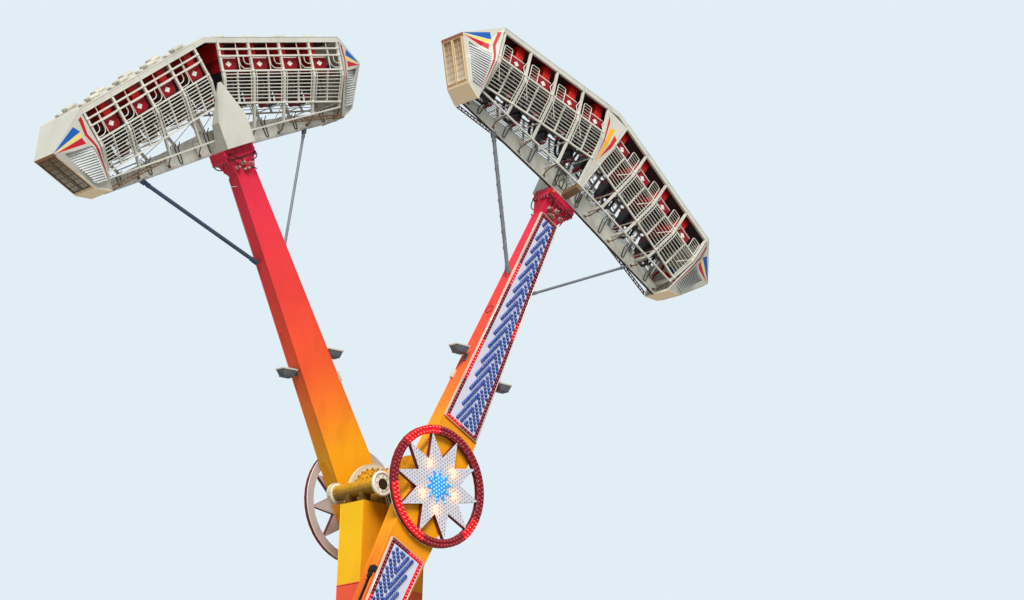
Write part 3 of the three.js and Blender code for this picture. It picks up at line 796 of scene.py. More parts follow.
def makeCushions():
    parts, back = [], seat["backTo"] - 0.03
    for y, head, side in seatMiddles():
        middle = y - side * 0.004
        for across, half, (out0, out1), (z0, z1), cuts, crown, axis in (
                (middle, 0.27, (0.16, 0.50), (-0.535, seat["panUnder"] - 0.002), 5, 0.012, 2),
                (middle, 0.225, (back, 0.20), (-0.93, -0.55), 5, 0.014, 0),
                (head, 0.125, (back, 0.185), (-1.17, -0.985), 4, 0.01, 0)):
            parts.append(crowned((out0, across - half, z0), (out1, across + half, z1), cuts, crown, axis))
    for piece in onHalves(repeated(parts, seatRows), "seat_cushions", "vinyl").values():
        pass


def makeRestraints():
    pads, tubes = [], []
    bar, barHalf, foot, padFrom = (restraint[key] for key in ("bar", "barHalf", "foot", "padFrom"))
    (lapOut, lapLevel), lapHalf = restraint["lap"], restraint["lapHalf"]
    for _, head, _ in seatMiddles():
        for hand in bothSides:
            across = head + hand * restraint["apart"]
            route = [(padFrom, across, bar), (0.385, across, bar), (0.46, across, -1.13),
                     (0.46, across + hand * 0.02, -0.72)]
            pads.append(newTube([rounded(route, 0.08)], restraint["padRadius"], 10))
            tubes.append(newRod((foot, across, bar), (padFrom, across, bar), restraint["tubeRadius"], 10))
            grip = [(0.49, across, -0.98), (0.535, across - hand * 0.01, -0.96),
                    (0.535, across - hand * 0.01, -0.84), (0.49, across, -0.82)]
            tubes.append(newTube([rounded(grip, 0.03, 3)], restraint["gripRadius"], 6))
        lap = [(lapOut, head + end, lapLevel) for end in (-lapHalf, lapHalf)]
        pads.append(newRod(*lap, restraint["lapRadius"], 10))
        ends = [(0.105, head + end, bar) for end in (-barHalf, barHalf)]
        tubes.append(newRod(*ends, restraint["barRadius"], 12))
        for low, high in restraint["brackets"]:
            tubes.append(newBox((0.075, head + low, -1.245), (0.135, head + high, -1.11), 0.006))
    for piece in onHalves(repeated(pads, seatRows), "restraint_pads", "foam").values():
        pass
    onHalves(repeated(tubes, seatRows), "restraint_tubes", "tube")


def makeSeatMarks():  # plain diamonds on the outer sides of the seats, with a rim along each seat's upper edge
    inner, outer = seat["sides"]
    first, last, pan, size = seat["from"], seat["to"], seat["pan"], seat["mark"]
    x, z = (first + last) / 2, (pan + seat["low"]) / 2
    outline = [(x - size, z), (x, z - size * 0.8), (x + size, z), (x, z + size * 0.8)]
    parts = []
    for y in (inner - 0.004, outer - 0.001):
        parts.append(shifted(newPlate(outline, 0.005), (0, y, 0)))
        parts.append(newBox((first, y - 0.004, pan - 0.016), (last, y + 0.009, pan + 0.004), 0.003))
    onHalves(repeated(parts, seatRows), "seat_marks", "mark")


makeSeats = (makeSeatShells, makeCushions, makeRestraints, makeSeatMarks)

# Cages
bars = {
    "thin": {"inner": 0.0125, "outer": 0.0095}, "pitch": 0.075, "first": 0.725, "last": 1.30, "sink": 0.030,
    "upright": 0.011, "pair": 0.085, "loop": 0.011, "ladder": (0.55, 0.80), "ladderTop": 0.27,
    "ladderTube": 0.011, "rung": 0.007, "rungPitch": 0.078, "topRail": 0.147, "seatRail": 0.306, "midRail": 0.65,
    "lowRail": 1.35, "bracket": (0.037, 0.020, 0.030),
}


def postOut(bay, depth):  # the first post leans towards the gondola's middle below the knee
    if bay:
        return min(bay * cab["bay"], cab["end"] - 0.07)
    foot, slope = roofDepth(0), cab["slope"]
    footOut = (0.0575 - cab["start"][0] + foot * math.sin(slope)) / math.cos(slope)
    return mix(0.03, footOut, max(depth - cab["knee"], 0) / (foot + 0.055 - cab["knee"]))


def makeFineBars():
    first, last, pitch = bars["first"], bars["last"], bars["pitch"]
    depths = [first + index * pitch for index in range(int((last - first) / pitch) + 1)]
    for face, thin in bars["thin"].items():
        rows = []
        for depth in depths:
            outs = [postOut(0, depth), *(cab["bay"] * bay for bay in range(1, cab["bays"])), cab["end"] - 0.06]
            rows.append(skinRoute(face, [(out, depth) for out in outs], bars["sink"]))
        uprights = []
        for bay, side in itertools.product(range(cab["bays"] + 1), bothSides):
            out = bay * cab["bay"] + side * bars["pair"]
            if 0 < out < cab["end"] - 0.05:
                stops = (bars["midRail"], cab["knee"], bars["lowRail"])
                uprights.append(skinRoute(face, [(out, depth) for depth in stops], 0.018))
        parts = [newTube(rows, thin, 6), newTube(uprights, bars["upright"], 6)]
        onHalves(parts, f"fine_bars_{face}", "cage")


def makeSideLoops():  # rounded loops beside each seat on the mast side
    routes = []
    for bay in range(cab["bays"]):
        near, far = bay * cab["bay"] + 0.56, bay * cab["bay"] + 0.872
        outer = [(near, 0.15), (near, 0.52), (near + 0.09, 0.60), (far, 0.60)]
        inner = [(near + 0.13, bars["seatRail"]), (near + 0.13, 0.45), (near + 0.20, 0.50), (far, 0.50)]
        routes += [rounded(skinRoute("inner", line, 0.022), 0.09) for line in (outer, inner)]
        routes.append(skinRoute("inner", [(near - 0.03, 0.0), (near - 0.03, bars["midRail"])], 0.02))
    onHalves(newTube(routes, bars["loop"], 8), "side_loops", "cage")


def makeLadders():  # short ladder frames beside each seat on the outer side, and their stays
    frames, rungs, stays = [], [], []
    top, foot = bars["ladderTop"], bars["midRail"]
    for bay in range(cab["bays"]):
        start = bay * cab["bay"]
        near, far = (start + out for out in bars["ladder"])
        corners = [(near, foot), (near, top), (far, top), (far, foot)]
        frames.append(rounded(skinRoute("outer", corners, 0.01), 0.05, 3))
        for step in range(4):
            depth = top + (step + 1) * bars["rungPitch"]
            rungs.append(skinRoute("outer", [(near, depth), (far, depth)], 0.01))
        for line in (((0.88, 0.60, 0.03), (0.83, 0.80, 0.03), (0.60, 1.10, 0.03)),
                     ((0.03, 0.30, 0.03), (0.10, 0.46, 0.05), (0.03, 0.64, 0.03))):
            stays.append([skinPoint("outer", start + out, depth, sink) for out, depth, sink in line])
    parts = [newTube(frames, bars["ladderTube"], 8), newTube(rungs, bars["rung"], 6), newTube(stays, 0.012, 6)]
    onHalves(parts, "ladder_frames", "cage")


def makeCageJoints():  # small brackets where the posts meet the rails
    places = []
    for face, rails in (
            ("inner", ("topRail", "seatRail", "midRail", "lowRail")), ("outer", ("midRail", "lowRail"))):
        for bay, depth in itertools.product(range(cab["bays"] + 1), (bars[rail] for rail in rails)):
            places.append(skinPoint(face, postOut(bay, depth), depth, 0.012))
    onHalves(repeated(boxAt(0, 0, 0, bars["bracket"], 0.006), places), "cage_brackets", "cage")


def makeCrossTies():  # tubes from skin to skin at each post, and a thin brace between neighbours
    ties, braces, rail = [], [], bars["lowRail"]
    for bay in range(cab["bays"] + 1):
        post = postOut(bay, rail)
        for depth in (rail, roofDepth(post) - 0.10):
            ties.append([skinPoint(face, postOut(bay, depth), depth, 0.03) for face in ("inner", "outer")])
        if bay < cab["bays"] - 1:
            far = post + 0.36
            low = roofDepth(far) - 0.10
            braces.append([skinPoint("inner", post, rail, 0.03), skinPoint("outer", far, low, 0.03)])
    onHalves([newTube(ties, 0.014, 8), newTube(braces, 0.009, 6)], "cross_ties", "cage")


makeCages = (makeFineBars, makeSideLoops, makeLadders, makeCageJoints, makeCrossTies)


# Gondola floors and noses
floorTrim = {"top": 0.124, "mountsAt": 0.25, "mounts": (1.12, 1.99)}


def makeFloorTrim():
    top, end = floorTrim["top"], cab["end"] - 0.01
    parts = []
    for y, side in ((cab["inner"], 1), (cab["outer"], -1)):
        for low, high in ((top - 0.012, top + 0.006), (-0.006, 0.010)):
            parts.append(boxAt((0.02, end), (y - side * 0.006, y + side * 0.004), (low, high), (0, 0, 0), 0.003))
    onHalves(parts, "floor_edges", "cream")
    mount = [newBox((-0.18, -0.15, 0.0), (0.18, 0.15, 0.016), 0.004, 1),
             newBox((-0.15, -0.12, 0.012), (0.15, 0.12, 0.10), 0.03),
             newBox((0.26, -0.08, 0.0), (0.40, 0.08, 0.055), 0.016)]
    mount += [newRod((x, y, 0.012), (x, y, 0.032), 0.014, 6) for x in (-0.165, 0.165) for y in (-0.13, 0.13)]
    places = [(row * cab["bay"] + floorTrim["mountsAt"], y, top)
              for row in range(cab["bays"]) for y in floorTrim["mounts"]]
    onHalves(repeated(mount, places), "seat_mounts", "pale")


nose = {  # places are (across, along) in the arm's frame
    "frontOut": (4.670, 9.450), "frontIn": (3.950, 8.500), "shares": (0.08, 0.92), "reach": 0.30, "mullion": 0.03,
    "slats": 7, "window": [(4.440, 9.360), (3.880, 9.360), (3.650, 8.600), (3.900, 8.600)], "sideSlats": 14,
    "frontReach": 0.36,
}


def nosePoint(share, y, push=0.0):  # on the nose's front face, in the arm's frame, with push outwards
    (outX, outZ), (inX, inZ) = nose["frontOut"], nose["frontIn"]
    length = math.hypot(outX - inX, outZ - inZ)
    return Vector((mix(outX, inX, share) + push * (outZ - inZ) / length, cab["middle"] + y,
                   mix(outZ, inZ, share) + push * (inX - outX) / length))


def toCab(point):
    return cabMatrix(1).inverted() @ Vector(point)


def makeNoseWindows():
    low, high = nose["shares"]
    frames, slats, sheets = [], [], []
    for side in bothSides:
        near, far = side * nose["mullion"], side * nose["reach"]

        def line(spots, push):
            return [toCab(nosePoint(share, y, push)) for share, y in spots]

        corners = [(low, near), (low, far), (high, far), (high, near)]
        frames.append(line(corners, 0.004))
        for step in range(1, nose["slats"]):
            share = mix(low, high, step / nose["slats"])
            slats.append(line([(share, near), (share, far)], -0.012))
        middle = (near + far) / 2
        slats.append(line([(low, middle), (high, middle)], -0.012))
        sheets.append(newLoft([line(corners, -0.032), line(corners, -0.026)]))
    parts = [newTube(frames, 0.016, 6, closed=True), newTube(slats, 0.005, 6)]
    onHalves(parts, "nose_frames", "noseFrame")
    onHalves(sheets, "nose_panes", panePaint)


def flankPoint(point, side, sink):  # on the nose's side, sink metres inside it, in the arm's frame
    local = toCab((point.x, cab["middle"], point.z))
    depth, end, knee = -local.z, cab["end"], cab["knee"]
    front = toCab(nosePoint(0.5, 0)).x
    wide, narrow = ((size["outer"] - size["inner"]) / 2 for size in (cab, girder))
    reach = mix(wide, narrow, min(max(depth - knee, 0) / (roofDepth(end) + 0.3 - knee), 1))
    reach = mix(reach, nose["frontReach"], min(max((local.x - end) / (front - end), 0), 1))
    return Vector((point.x, cab["middle"] + side * (reach - sink), point.z))


def makeNoseLouvres():  # the slats of both side windows, and the pale sheet behind them
    top, back, foot, low = [Vector((x, 0, z)) for x, z in nose["window"]]
    slats, sheets = [], []
    for side in bothSides:
        tilt, thick = Vector((0, -side * 0.012, 0.042)), Vector((0, side * 0.003, 0.002))
        section = (tilt + thick, tilt - thick, -tilt - thick, -tilt + thick)
        for step in range(nose["sideSlats"]):
            share = (step + 0.5) / nose["sideSlats"]
            ends = [flankPoint(start.lerp(end, share), side, 0.012) for start, end in ((top, low), (back, foot))]
            slats.append(newLoft([[toCab(point + offset) for offset in section] for point in ends]))
        sheets.append(newLoft([[toCab(flankPoint(point, side, sink)) for point in (top, back, foot, low)]
                               for sink in (0.037, 0.032)]))
    onHalves(slats, "nose_louvres", "louvre")
    onHalves(sheets, "nose_side_sheets", "cage")


makeGondolaEnds = (makeFloorTrim, makeNoseWindows, makeNoseLouvres)


# Light panels and star wheels
panels = {
    "upper": {"from": 1.590, "to": 7.810, "halfFrom": 0.513, "halfTo": 0.270},
    "lower": {"from": -3.950, "to": -1.670, "halfFrom": 0.430, "halfTo": 0.493},
}
lights = {
    "thick": 0.0303, "border": 0.100, "inset": 0.052, "edgePitch": 0.088, "edgeBulb": 0.033, "rowBulb": 0.047,
    "spacing": 0.385, "ridge": -0.16, "trim": 0.013, "duct": 0.018, "glint": 0.009,
    "rows": {-1: {"fall": 0.76, "pitch": 0.082, "reach": 0.74, "starts": (0, 0.5)},
             1: {"fall": 0.33, "pitch": 0.068, "reach": 0.62, "starts": (0,)}},
}
litStretches = [  # side of the panel, and from where to where its border is lit
    (1, 2.70, 3.85), (1, 5.55, 6.20), (-1, 4.40, 4.90), (1, 1.55, 1.70), (1, -3.95, -3.05), (-1, -2.75, -1.67),
]


def isLit(x, z):  # works on numbers and on wires
    total = 0
    for side, low, high in litStretches:
        total = total + (x * side > 0.03) * (z > low) * (z < high)
    return total


def newBulb(radius, height=0.8):
    deselectAll()
    bpy.ops.mesh.primitive_uv_sphere_add(segments=8, ring_count=4, radius=radius, rotation=(math.pi / 2, 0, 0))
    piece = settle()
    piece.data.transform(Matrix.Diagonal((1, height, 1, 1)))
    bpy.ops.object.shade_smooth()
    return piece


def panelHalf(panel, z):
    return mix(panel["halfFrom"], panel["halfTo"], (z - panel["from"]) / (panel["to"] - panel["from"]))


def panelFace(x, z, lift):
    return x, armOuter(z) + lights["thick"] + lift, z


def edgeSpots(panel):
    inset, pitch = lights["inset"], lights["edgePitch"]
    low, high = panel["from"] + inset, panel["to"] - inset
    spots = [(side * (panelHalf(panel, z) - inset), z) for z in spacedOut(low, high, pitch) for side in bothSides]
    for z in (low, high):
        half = panelHalf(panel, z) - inset
        spots += [(x, z) for x in spacedOut(-half, half, pitch)[1:-1]]
    return spots


def rowSpots(panel):  # rows of bulbs that fall away from a ridge near the middle, like roof tiles
    border = lights["border"] + 0.022
    turn = 1 if panel["to"] > 0 else -1  # the lower panel is the upper one's pattern turned half round
    low, high = sorted((turn * panel["from"], turn * panel["to"]))
    low, high = low + border, high - border
    spots = []
    apex = low + 0.12
    while apex < high + 1.0:
        half = panelHalf(panel, turn * apex)
        for side, row in lights["rows"].items():
            slant = math.atan(row["fall"])
            stepX, stepZ = row["pitch"] * math.sin(slant), row["pitch"] * math.cos(slant)
            steps = range(0 if side > 0 else 1, int(row["reach"] * half / stepX) + 1)
            for start, step in itertools.product(row["starts"], steps):
                x = lights["ridge"] * half + side * step * stepX
                z = apex - start * lights["spacing"] - step * stepZ
                if low < z < high and abs(x) < panelHalf(panel, turn * z) - border:
                    spots.append((turn * x, turn * z))
        apex += lights["spacing"]
    return spots


def makePanelLights():
    edges, rows = (sum((spots(panel) for panel in panels.values()), []) for spots in (edgeSpots, rowSpots))
    dark, lit = ([spot for spot in edges if isLit(*spot) == glows] for glows in (0, 1))
    size, large = lights["edgeBulb"], lights["rowBulb"]
    for name, spots, radius, lift, look in (
            ("blue", rows, large, large * 0.1, "bulbBlue"), ("red", dark, size, size * 0.1, "bulbRed"),
            ("lit", lit, size, size * 0.1, "bulbLit"), ("glint", lit, lights["glint"], size * 0.8, "bulbGlint")):
        places = [panelFace(x, z, lift) for x, z in spots]
        onArms(repeated(newBulb(radius), places), f"panel_bulbs_{name}", look)
    frames, ducts = [], []
    for panel in panels.values():
        ends = ((panel["from"], panel["halfFrom"]), (panel["to"], panel["halfTo"]))
        (low, wide), (high, narrow) = ends
        corners = [(-wide, low), (wide, low), (narrow, high), (-narrow, high)]
        frames.append([panelFace(x, z, 0.004) for x, z in corners])
        sections = []
        for z, half in ends:
            near, under, over = half + 0.008, armOuter(z) - 0.02, armOuter(z) + 0.026
            far = near + lights["duct"]
            sections.append([(near, under, z), (far, under, z), (far, over, z), (near, over, z)])
        ducts.append(soften(newLoft(sections), 0.006, 1))
    onArms(newTube(frames, lights["trim"], 8, closed=True), "panel_trim", "trim")
    onArms(ducts, "panel_ducts", "duct")
    for arm, (name, panel) in itertools.product(armLean, panels.items()):
        paintNode(f"{arm}_light_panel_{name}", panelBoard(arm, panel))


wheel = {
    "radius": 1.350, "front": 1.480, "starFront": 1.476, "back": 1.372, "points": 10, "tip": 1.195,
    "notch": 0.640, "burstTip": 0.420, "burstNotch": 0.200, "ringRows": (1.212, 1.303), "ringPitch": 0.095,
    "starPitch": 0.080, "burstPitch": 0.085, "ringBulb": 0.036, "starBulb": 0.016,
}
ringLit = [(91, 139), (186, 252), (308, 334)]  # degrees, as seen from outside at rest
warmSpots = [(-0.28, 0.47), (0.41, 0.37), (-0.45, -0.23), (0.454, -0.146), (-0.062, -0.54)]


def starReach(angle, tip, notch):  # how far a ten-pointed star reaches at an angle from the arm's line
    step = math.pi / wheel["points"]
    share = abs((angle % (2 * step)) / step - 1)  # 1 on a point, 0 in a notch
    x, z = notch * math.cos(step), notch * math.sin(step)
    turn = (1 - share) * step
    return tip * z / (z * math.cos(turn) - (x - tip) * math.sin(turn))


def burstReach(x, z):  # the burst's points stand between the star's
    return starReach(math.atan2(x, z) + math.pi / wheel["points"], wheel["burstTip"], wheel["burstNotch"])


def seenFrom(x, z):  # across and up in the upright picture of the wheel
    lean = armLean["front"]
    return x * -math.cos(lean) + z * math.sin(lean), x * math.sin(lean) + z * math.cos(lean)


def ringIsLit(angle):  # degrees from 0 to 360, a number or a wire
    total = 0
    for low, high in ringLit:
        total = total + (angle > low) * (angle < high)
    return total


def hexSpots(pitch, reach):  # staggered rows of places within a square
    count = int(reach / pitch) + 1
    return [((column + row % 2 * 0.5) * pitch, row * pitch * 0.87)
            for row in range(-count - 2, count + 3) for column in range(-count, count + 1)]


def makeWheelLights():
    ring, ringGlow, star, starGlow = [], [], [], []
    for row, radius in enumerate(wheel["ringRows"]):
        for turn in circleTurns(round(2 * math.pi * radius / wheel["ringPitch"])):
            angle = turn + row * wheel["ringPitch"] / radius / 2
            x, z = radius * math.sin(angle), radius * math.cos(angle)
            across, up = seenFrom(x, z)
            glows = ringIsLit(math.degrees(math.atan2(up, across)) % 360)
            (ringGlow if glows else ring).append((x, z))
    for x, z in hexSpots(wheel["starPitch"], wheel["tip"]):
        edge = starReach(math.atan2(x, z), wheel["tip"], wheel["notch"]) - 0.03
        if burstReach(x, z) + 0.015 < math.hypot(x, z) < edge:
            across, up = seenFrom(x, z)
            near = min(math.hypot(across - u, up - v) for u, v in warmSpots)
            (starGlow if near < 0.10 else star).append((x, z))
    burst = [(x, z) for x, z in hexSpots(wheel["burstPitch"], wheel["burstTip"])
             if math.hypot(x, z) < burstReach(x, z) - 0.02]
    front, starFront, large, dot = (wheel[key] for key in ("front", "starFront", "ringBulb", "starBulb"))
    for name, spots, y, radius, look in (
            ("ring_bulbs", ring, front, large, "bulbRed"), ("ring_bulbs_lit", ringGlow, front, large, "bulbLit"),
            ("ring_bulbs_glint", ringGlow, front + large * 0.7, lights["glint"], "bulbGlint"),
            ("star_bulbs", star, starFront, dot, "bulbWhite"),
            ("star_bulbs_lit", starGlow, starFront, dot * 1.15, "bulbWarm"),
            ("burst_bulbs", burst, starFront + 0.012, dot * 1.3, "bulbSky")):
        onArms(repeated(newBulb(radius), [(x, y, z) for x, z in spots]), name, look)
    rim = circle(wheel["radius"] - 0.006, 80, (0, wheel["back"] + 0.006, 0))
    onArms(newTube([rim], 0.009, 6, closed=True), "wheel_rims", "white")
    outline = []
    for step, turn in enumerate(circleTurns(wheel["points"] * 2)):
        reach = wheel["burstTip"] if step % 2 else wheel["burstNotch"]
        outline.append((reach * math.sin(turn), reach * math.cos(turn)))
    # the burst plate is blue and glows, a painted glow from its bulbs
    plate = shifted(newPlate(outline, 0.016, 0.003), (0, starFront - 0.002, 0))
    onArms(plate, "wheel_burst", "burst")
    for arm in armLean:
        paintNode(f"{arm}_star_wheel", wheelBoard(arm))


# Arms
armEdges = {
    "stations": [-4.0, -2.0, 0.0, 2.6, 5.2, 7.84], "bead": 0.010,
    "covers": (-2.6, 1.05, 4.1), "cover": (1.08, 1.24),
}
tip = {
    "half": 0.462, "inner": 0.963, "outer": 1.492, "bolt": 0.020, "boltsAt": 8.15, "neckFrom": 7.86,
    "neckOuter": 1.42, "neck": 0.34, "plates": ((8.172, 8.200), (8.292, 8.318)),
    "ribs": (-0.33, -0.11, 0.11, 0.33), "rib": (8.195, 8.42),
}


def neckOuter(z):  # the arm widens into the tip's flange
    return mix(armOuter(tip["neckFrom"]), tip["neckOuter"], (z - tip["neckFrom"]) / tip["neck"])


def makeArmEdges():  # weld beads on the arm's long edges, and cover plates
    beads = [[(side * armHalf(z), face(z), z) for z in armEdges["stations"]]
             for side, face in ((-1, armInner), (1, armInner), (1, armOuter), (-1, armOuter))]
    parts = [newTube(beads, armEdges["bead"], 6)]
    for z, side in itertools.product(armEdges["covers"], bothSides):
        x = side * armHalf(z)
        parts.append(boxAt(x, armEdges["cover"], z, (0.008, 0, 0.16), 0.006))
        for across, lift in itertools.product((1.105, 1.215), (-0.13, 0, 0.13)):
            parts.append(newRod((x, across, z + lift), (x + side * 0.016, across, z + lift), 0.010, 6))
    onArms(parts, "arm_edges", "arm")


def makeTipFlange():  # the bolted plates between an arm and its gondola
    half, inner, outer = tip["half"], tip["inner"], tip["outer"]
    parts = [boxAt(0, (inner, outer), level, (half, 0, 0), 0.005) for level in tip["plates"]]
    for x, y in itertools.product(tip["ribs"], (inner + 0.006, outer - 0.006)):
        parts.append(boxAt(x, y, tip["rib"], (0.009, 0.006, 0), 0.003))
    for side in bothSides:
        outline = [(side * 0.39, 8.175), (side * 0.455, 8.175), (side * 0.40, 7.95)]
        parts.append(shifted(newPlate(outline, 0.02), (0, 1.2, 0)))
    onArms(parts, "tip_flange", "arm")
    spots = [(x, y) for x in spacedOut(-0.42, 0.42, 0.14) for y in (inner + 0.03, outer - 0.035)]
    spots += [(x, y) for x in (-0.435, 0.435) for y in spacedOut(inner + 0.12, outer - 0.13, 0.1)]
    bolt = [newRod((0, 0, -0.002), (0, 0, 0.026), tip["bolt"], 6), newRod((0, 0, -0.018), (0, 0, 0.0), 0.012, 8)]
    onArms(repeated(bolt, [(x, y, tip["boltsAt"]) for x, y in spots]), "tip_bolts", "steel")


valves = {
    "blocks": (  # across, along, width, height
        (-0.22, 7.99, 0.10, 0.08), (-0.03, 8.06, 0.12, 0.09),
        (0.17, 8.00, 0.08, 0.10), (0.02, 7.91, 0.18, 0.045)),
    "hoses": (  # from, to, how far they bow out
        ((-0.20, 8.03), (-0.43, 8.26), 0.10), ((-0.05, 8.10), (-0.34, 8.33), 0.14),
        ((0.18, 8.05), (0.42, 8.24), 0.12), ((0.10, 7.93), (0.30, 7.84), 0.05),
        ((-0.44, 8.20), (0.44, 8.22), 0.06)),
    "plug": 0.022, "cap": 0.018, "hoop": 0.035, "hose": 0.013, "probeAt": 7.6,
}


def makeTipValves():  # hydraulic fittings on the arm's tip, and their hoses
    blocks, knobs, routes, hoop = [], [], [], valves["hoop"]
    for face, away in ((neckOuter, 1), (armInner, -1)):
        for x, z, width, height in valves["blocks"]:
            y, top = face(z), z + height / 2
            out = y + away * 0.06
            blocks.append(boxAt(x, (y - away * 0.02, y + away * 0.075), z, (width / 2, 0, height / 2), 0.010, 2))
            blocks.append(newRod((x, out, z), (x, y + away * 0.115, z), valves["plug"], 10))
            knobs.append(newRod((x - 0.02, out, top - 0.02), (x - 0.02, out, top + 0.04), valves["cap"], 8))
            ring = [(x + hoop * math.cos(turn), y + away * 0.085, z + hoop * math.sin(turn))
                    for turn in circleTurns(12)]
            knobs.append(newTube([ring], 0.008, 6, closed=True))
        for (x0, z0), (x1, z1), bow in valves["hoses"]:
            y0, y1 = face(z0) + away * 0.06, tip["outer" if away > 0 else "inner"]
            swells = [(step / 8, math.sin(step / 8 * math.pi) * bow) for step in range(9)]
            routes.append([(mix(x0, x1, part), mix(y0, y1, part) + away * swell, mix(z0, z1, part) - swell * 0.4)
                           for part, swell in swells])
    outer, along = tip["outer"], valves["probeAt"]
    beacon = newBox((0.30, outer - 0.01, 8.33), (0.37, outer + 0.03, 8.40), 0.008, 1)
    probe = [(-armHalf(along) + 0.01, 1.12, along), (-armHalf(along) - 0.16, 1.12, along + 0.03)]
    for model, name, look in (
            (blocks, "tip_valves", "valve"), (knobs, "tip_valve_caps", "red"),
            (newTube(routes, valves["hose"], 8), "tip_hoses", "rubber"), (beacon, "tip_beacons", "amber"),
            (newTube([probe], 0.012, 8), "tip_probes", "valve")):
        onArms(model, name, look)


cables = {
    "strip": (-1.45, -2.5, -4.0), "stripRadius": 0.028, "shifts": (0.030, 0.058, 0.084), "cable": 0.016,
    "loopAt": (1.13, 4.77), "loop": 0.10, "wire": 0.006,
}


def makeArmCables():  # a cable strip, a lamp box, cables with their clamps, and a loop of wire
    strip = [(armHalf(z) + 0.022, armOuter(z) - 0.03, z) for z in cables["strip"]]
    onArms(newTube([strip], cables["stripRadius"], 8), "cable_strip", "arm")
    edge = armHalf(2.84)
    lampBox = newBox((edge - 0.010, 0.945, 2.72), (edge + 0.065, 1.035, 2.95), 0.012)
    onArms(lampBox, "lamp_boxes", "pale")
    half, low = armHalf(-2.55), armHalf(-3.98)
    clamps = [newBox((half - 0.01, 1.19, -2.62), (half + 0.10, 1.36, -2.46), 0.014),
              newBox((half + 0.02, 1.21, -2.74), (half + 0.085, 1.34, -2.60), 0.012)]
    lines = [[(half + shift, 1.25 + index * 0.02, -2.68), (half + shift * 0.9 - 0.03, 1.26, -3.3),
              (low + shift * 0.8, 1.27, -3.99)] for index, shift in enumerate(cables["shifts"])]
    (y, z), radius = cables["loopAt"], cables["loop"]
    out = armHalf(z) + 0.006 + 0.012
    loop = [(out, y + radius * math.sin(turn), z + radius * math.cos(turn)) for turn in circleTurns(24)]
    parts = [*clamps, newTube(lines, cables["cable"], 8), newTube([loop], cables["wire"], 6, closed=True)]
    onArms(parts, "arm_cables", "rubber")


# Floodlights and struts
flood = {"along": 3.25, "offset": 0.26, "width": 0.42, "deep": 0.28, "y": 1.15, "level": 0.46}


def rectangle(x, y, z, halfX, halfY):
    return [(x + turnX * halfX, y + turnY * halfY, z) for turnX, turnY in ((-1, -1), (1, -1), (1, 1), (-1, 1))]


def levelled(parts, x):  # the heads stand level while the arms are at rest
    piece = joined(parts)
    pivot = Matrix.Translation((x, 0, flood["along"] + 0.09))
    piece.data.transform(pivot @ Matrix.Rotation(flood["level"], 4, "Y") @ pivot.inverted())
    return piece


def makeFloodlights():
    along, y, halfX, halfY = flood["along"], flood["y"], flood["width"] / 2, flood["deep"] / 2
    heads, lids, panes = [], [], []
    for side in bothSides:
        x = side * (armHalf(along) + flood["offset"])
        low, high = rectangle(x, y, along, 0.135, 0.09), rectangle(x, y, along + 0.15, halfX - 0.01, halfY - 0.01)
        body = [soften(newLoft([low, high]), 0.012)]
        for step in range(7):
            rib = x - 0.12 + step * 0.04
            body.append(boxAt(rib, y, (along - 0.002, along + 0.085), (0.006, 0.115, 0), 0.003))
        heads.append(levelled(body, x))
        far, foot, pin = x - side * 0.235, side * armHalf(along + 0.1), along + 0.10
        bracket = [(far, y, pin), (far, y, along + 0.03), (side * (armHalf(along) - 0.02), y, along + 0.02)]
        heads.append(newTube([rounded(bracket, 0.03, 3)], 0.018, 8))
        heads.append(boxAt(foot, y, (along - 0.05, along + 0.13), (0.025, 0.06, 0), 0.006))
        heads.append(newRod((x - side * 0.25, y, pin), (x - side * 0.19, y, pin), 0.03, 10))
        lids.append(levelled(boxAt(x, y, (along + 0.145, along + 0.185), (halfX, halfY, 0), 0.010, 2), x))
        glass = boxAt(x, y, (along + 0.178, along + 0.196), (halfX - 0.03, halfY - 0.03, 0), 0.006)
        panes.append(levelled(glass, x))
    for arm, piece in onArms(heads, "floodlights", "housing").items():
        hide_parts(f"{arm}_floodlight_left", f"{arm}_floodlight_right")
    onArms(lids, "floodlight_rims", "lampRim")
    onArms(panes, "floodlight_glass", "lampGlass")


strut = {
    "along": 5.8, "across": 2.5, "footY": 1.205, "headY": 1.445, "radii": {"left": 0.046, "right": 0.032},
    "turns": 7, "turnSteps": 160,
}


def strutLine(side):
    start = Vector((side * armHalf(strut["along"]), strut["footY"], strut["along"]))
    end = Vector((side * strut["across"], strut["headY"], girderUnder(strut["across"])))
    return start, end, (end - start).normalized()


def makeStrutEnds():
    for arm, half in itertools.product(halfSide, strut["radii"]):
        radius = strut["radii"][half]
        start, end, ahead = strutLine(halfSide[arm][half])
        square = Vector((ahead.z, 0, -ahead.x))
        parts = []
        for spot, reach in ((start + ahead * 0.10, 1), (end - ahead * 0.06, -1)):
            for y in (-radius - 0.014, radius + 0.002):
                low = spot - ahead * 0.05 - square * 0.035 + Vector((0, y, 0))
                lug = [low, low + ahead * 0.13, low + ahead * 0.13 + square * 0.07, low + square * 0.07]
                parts.append(newLoft([lug, [corner + Vector((0, 0.012, 0)) for corner in lug]]))
            pin = Vector((0, radius + 0.026, 0))
            parts.append(newRod(spot - pin, spot + pin, 0.018, 10))
            collar = spot + ahead * 0.09 * reach
            parts.append(newRod(collar, collar + ahead * 0.06 * reach, radius + 0.010, 14))
        onArm(arm, joined(parts), f"strut_ends_{half}", strutPaints[arm][half])


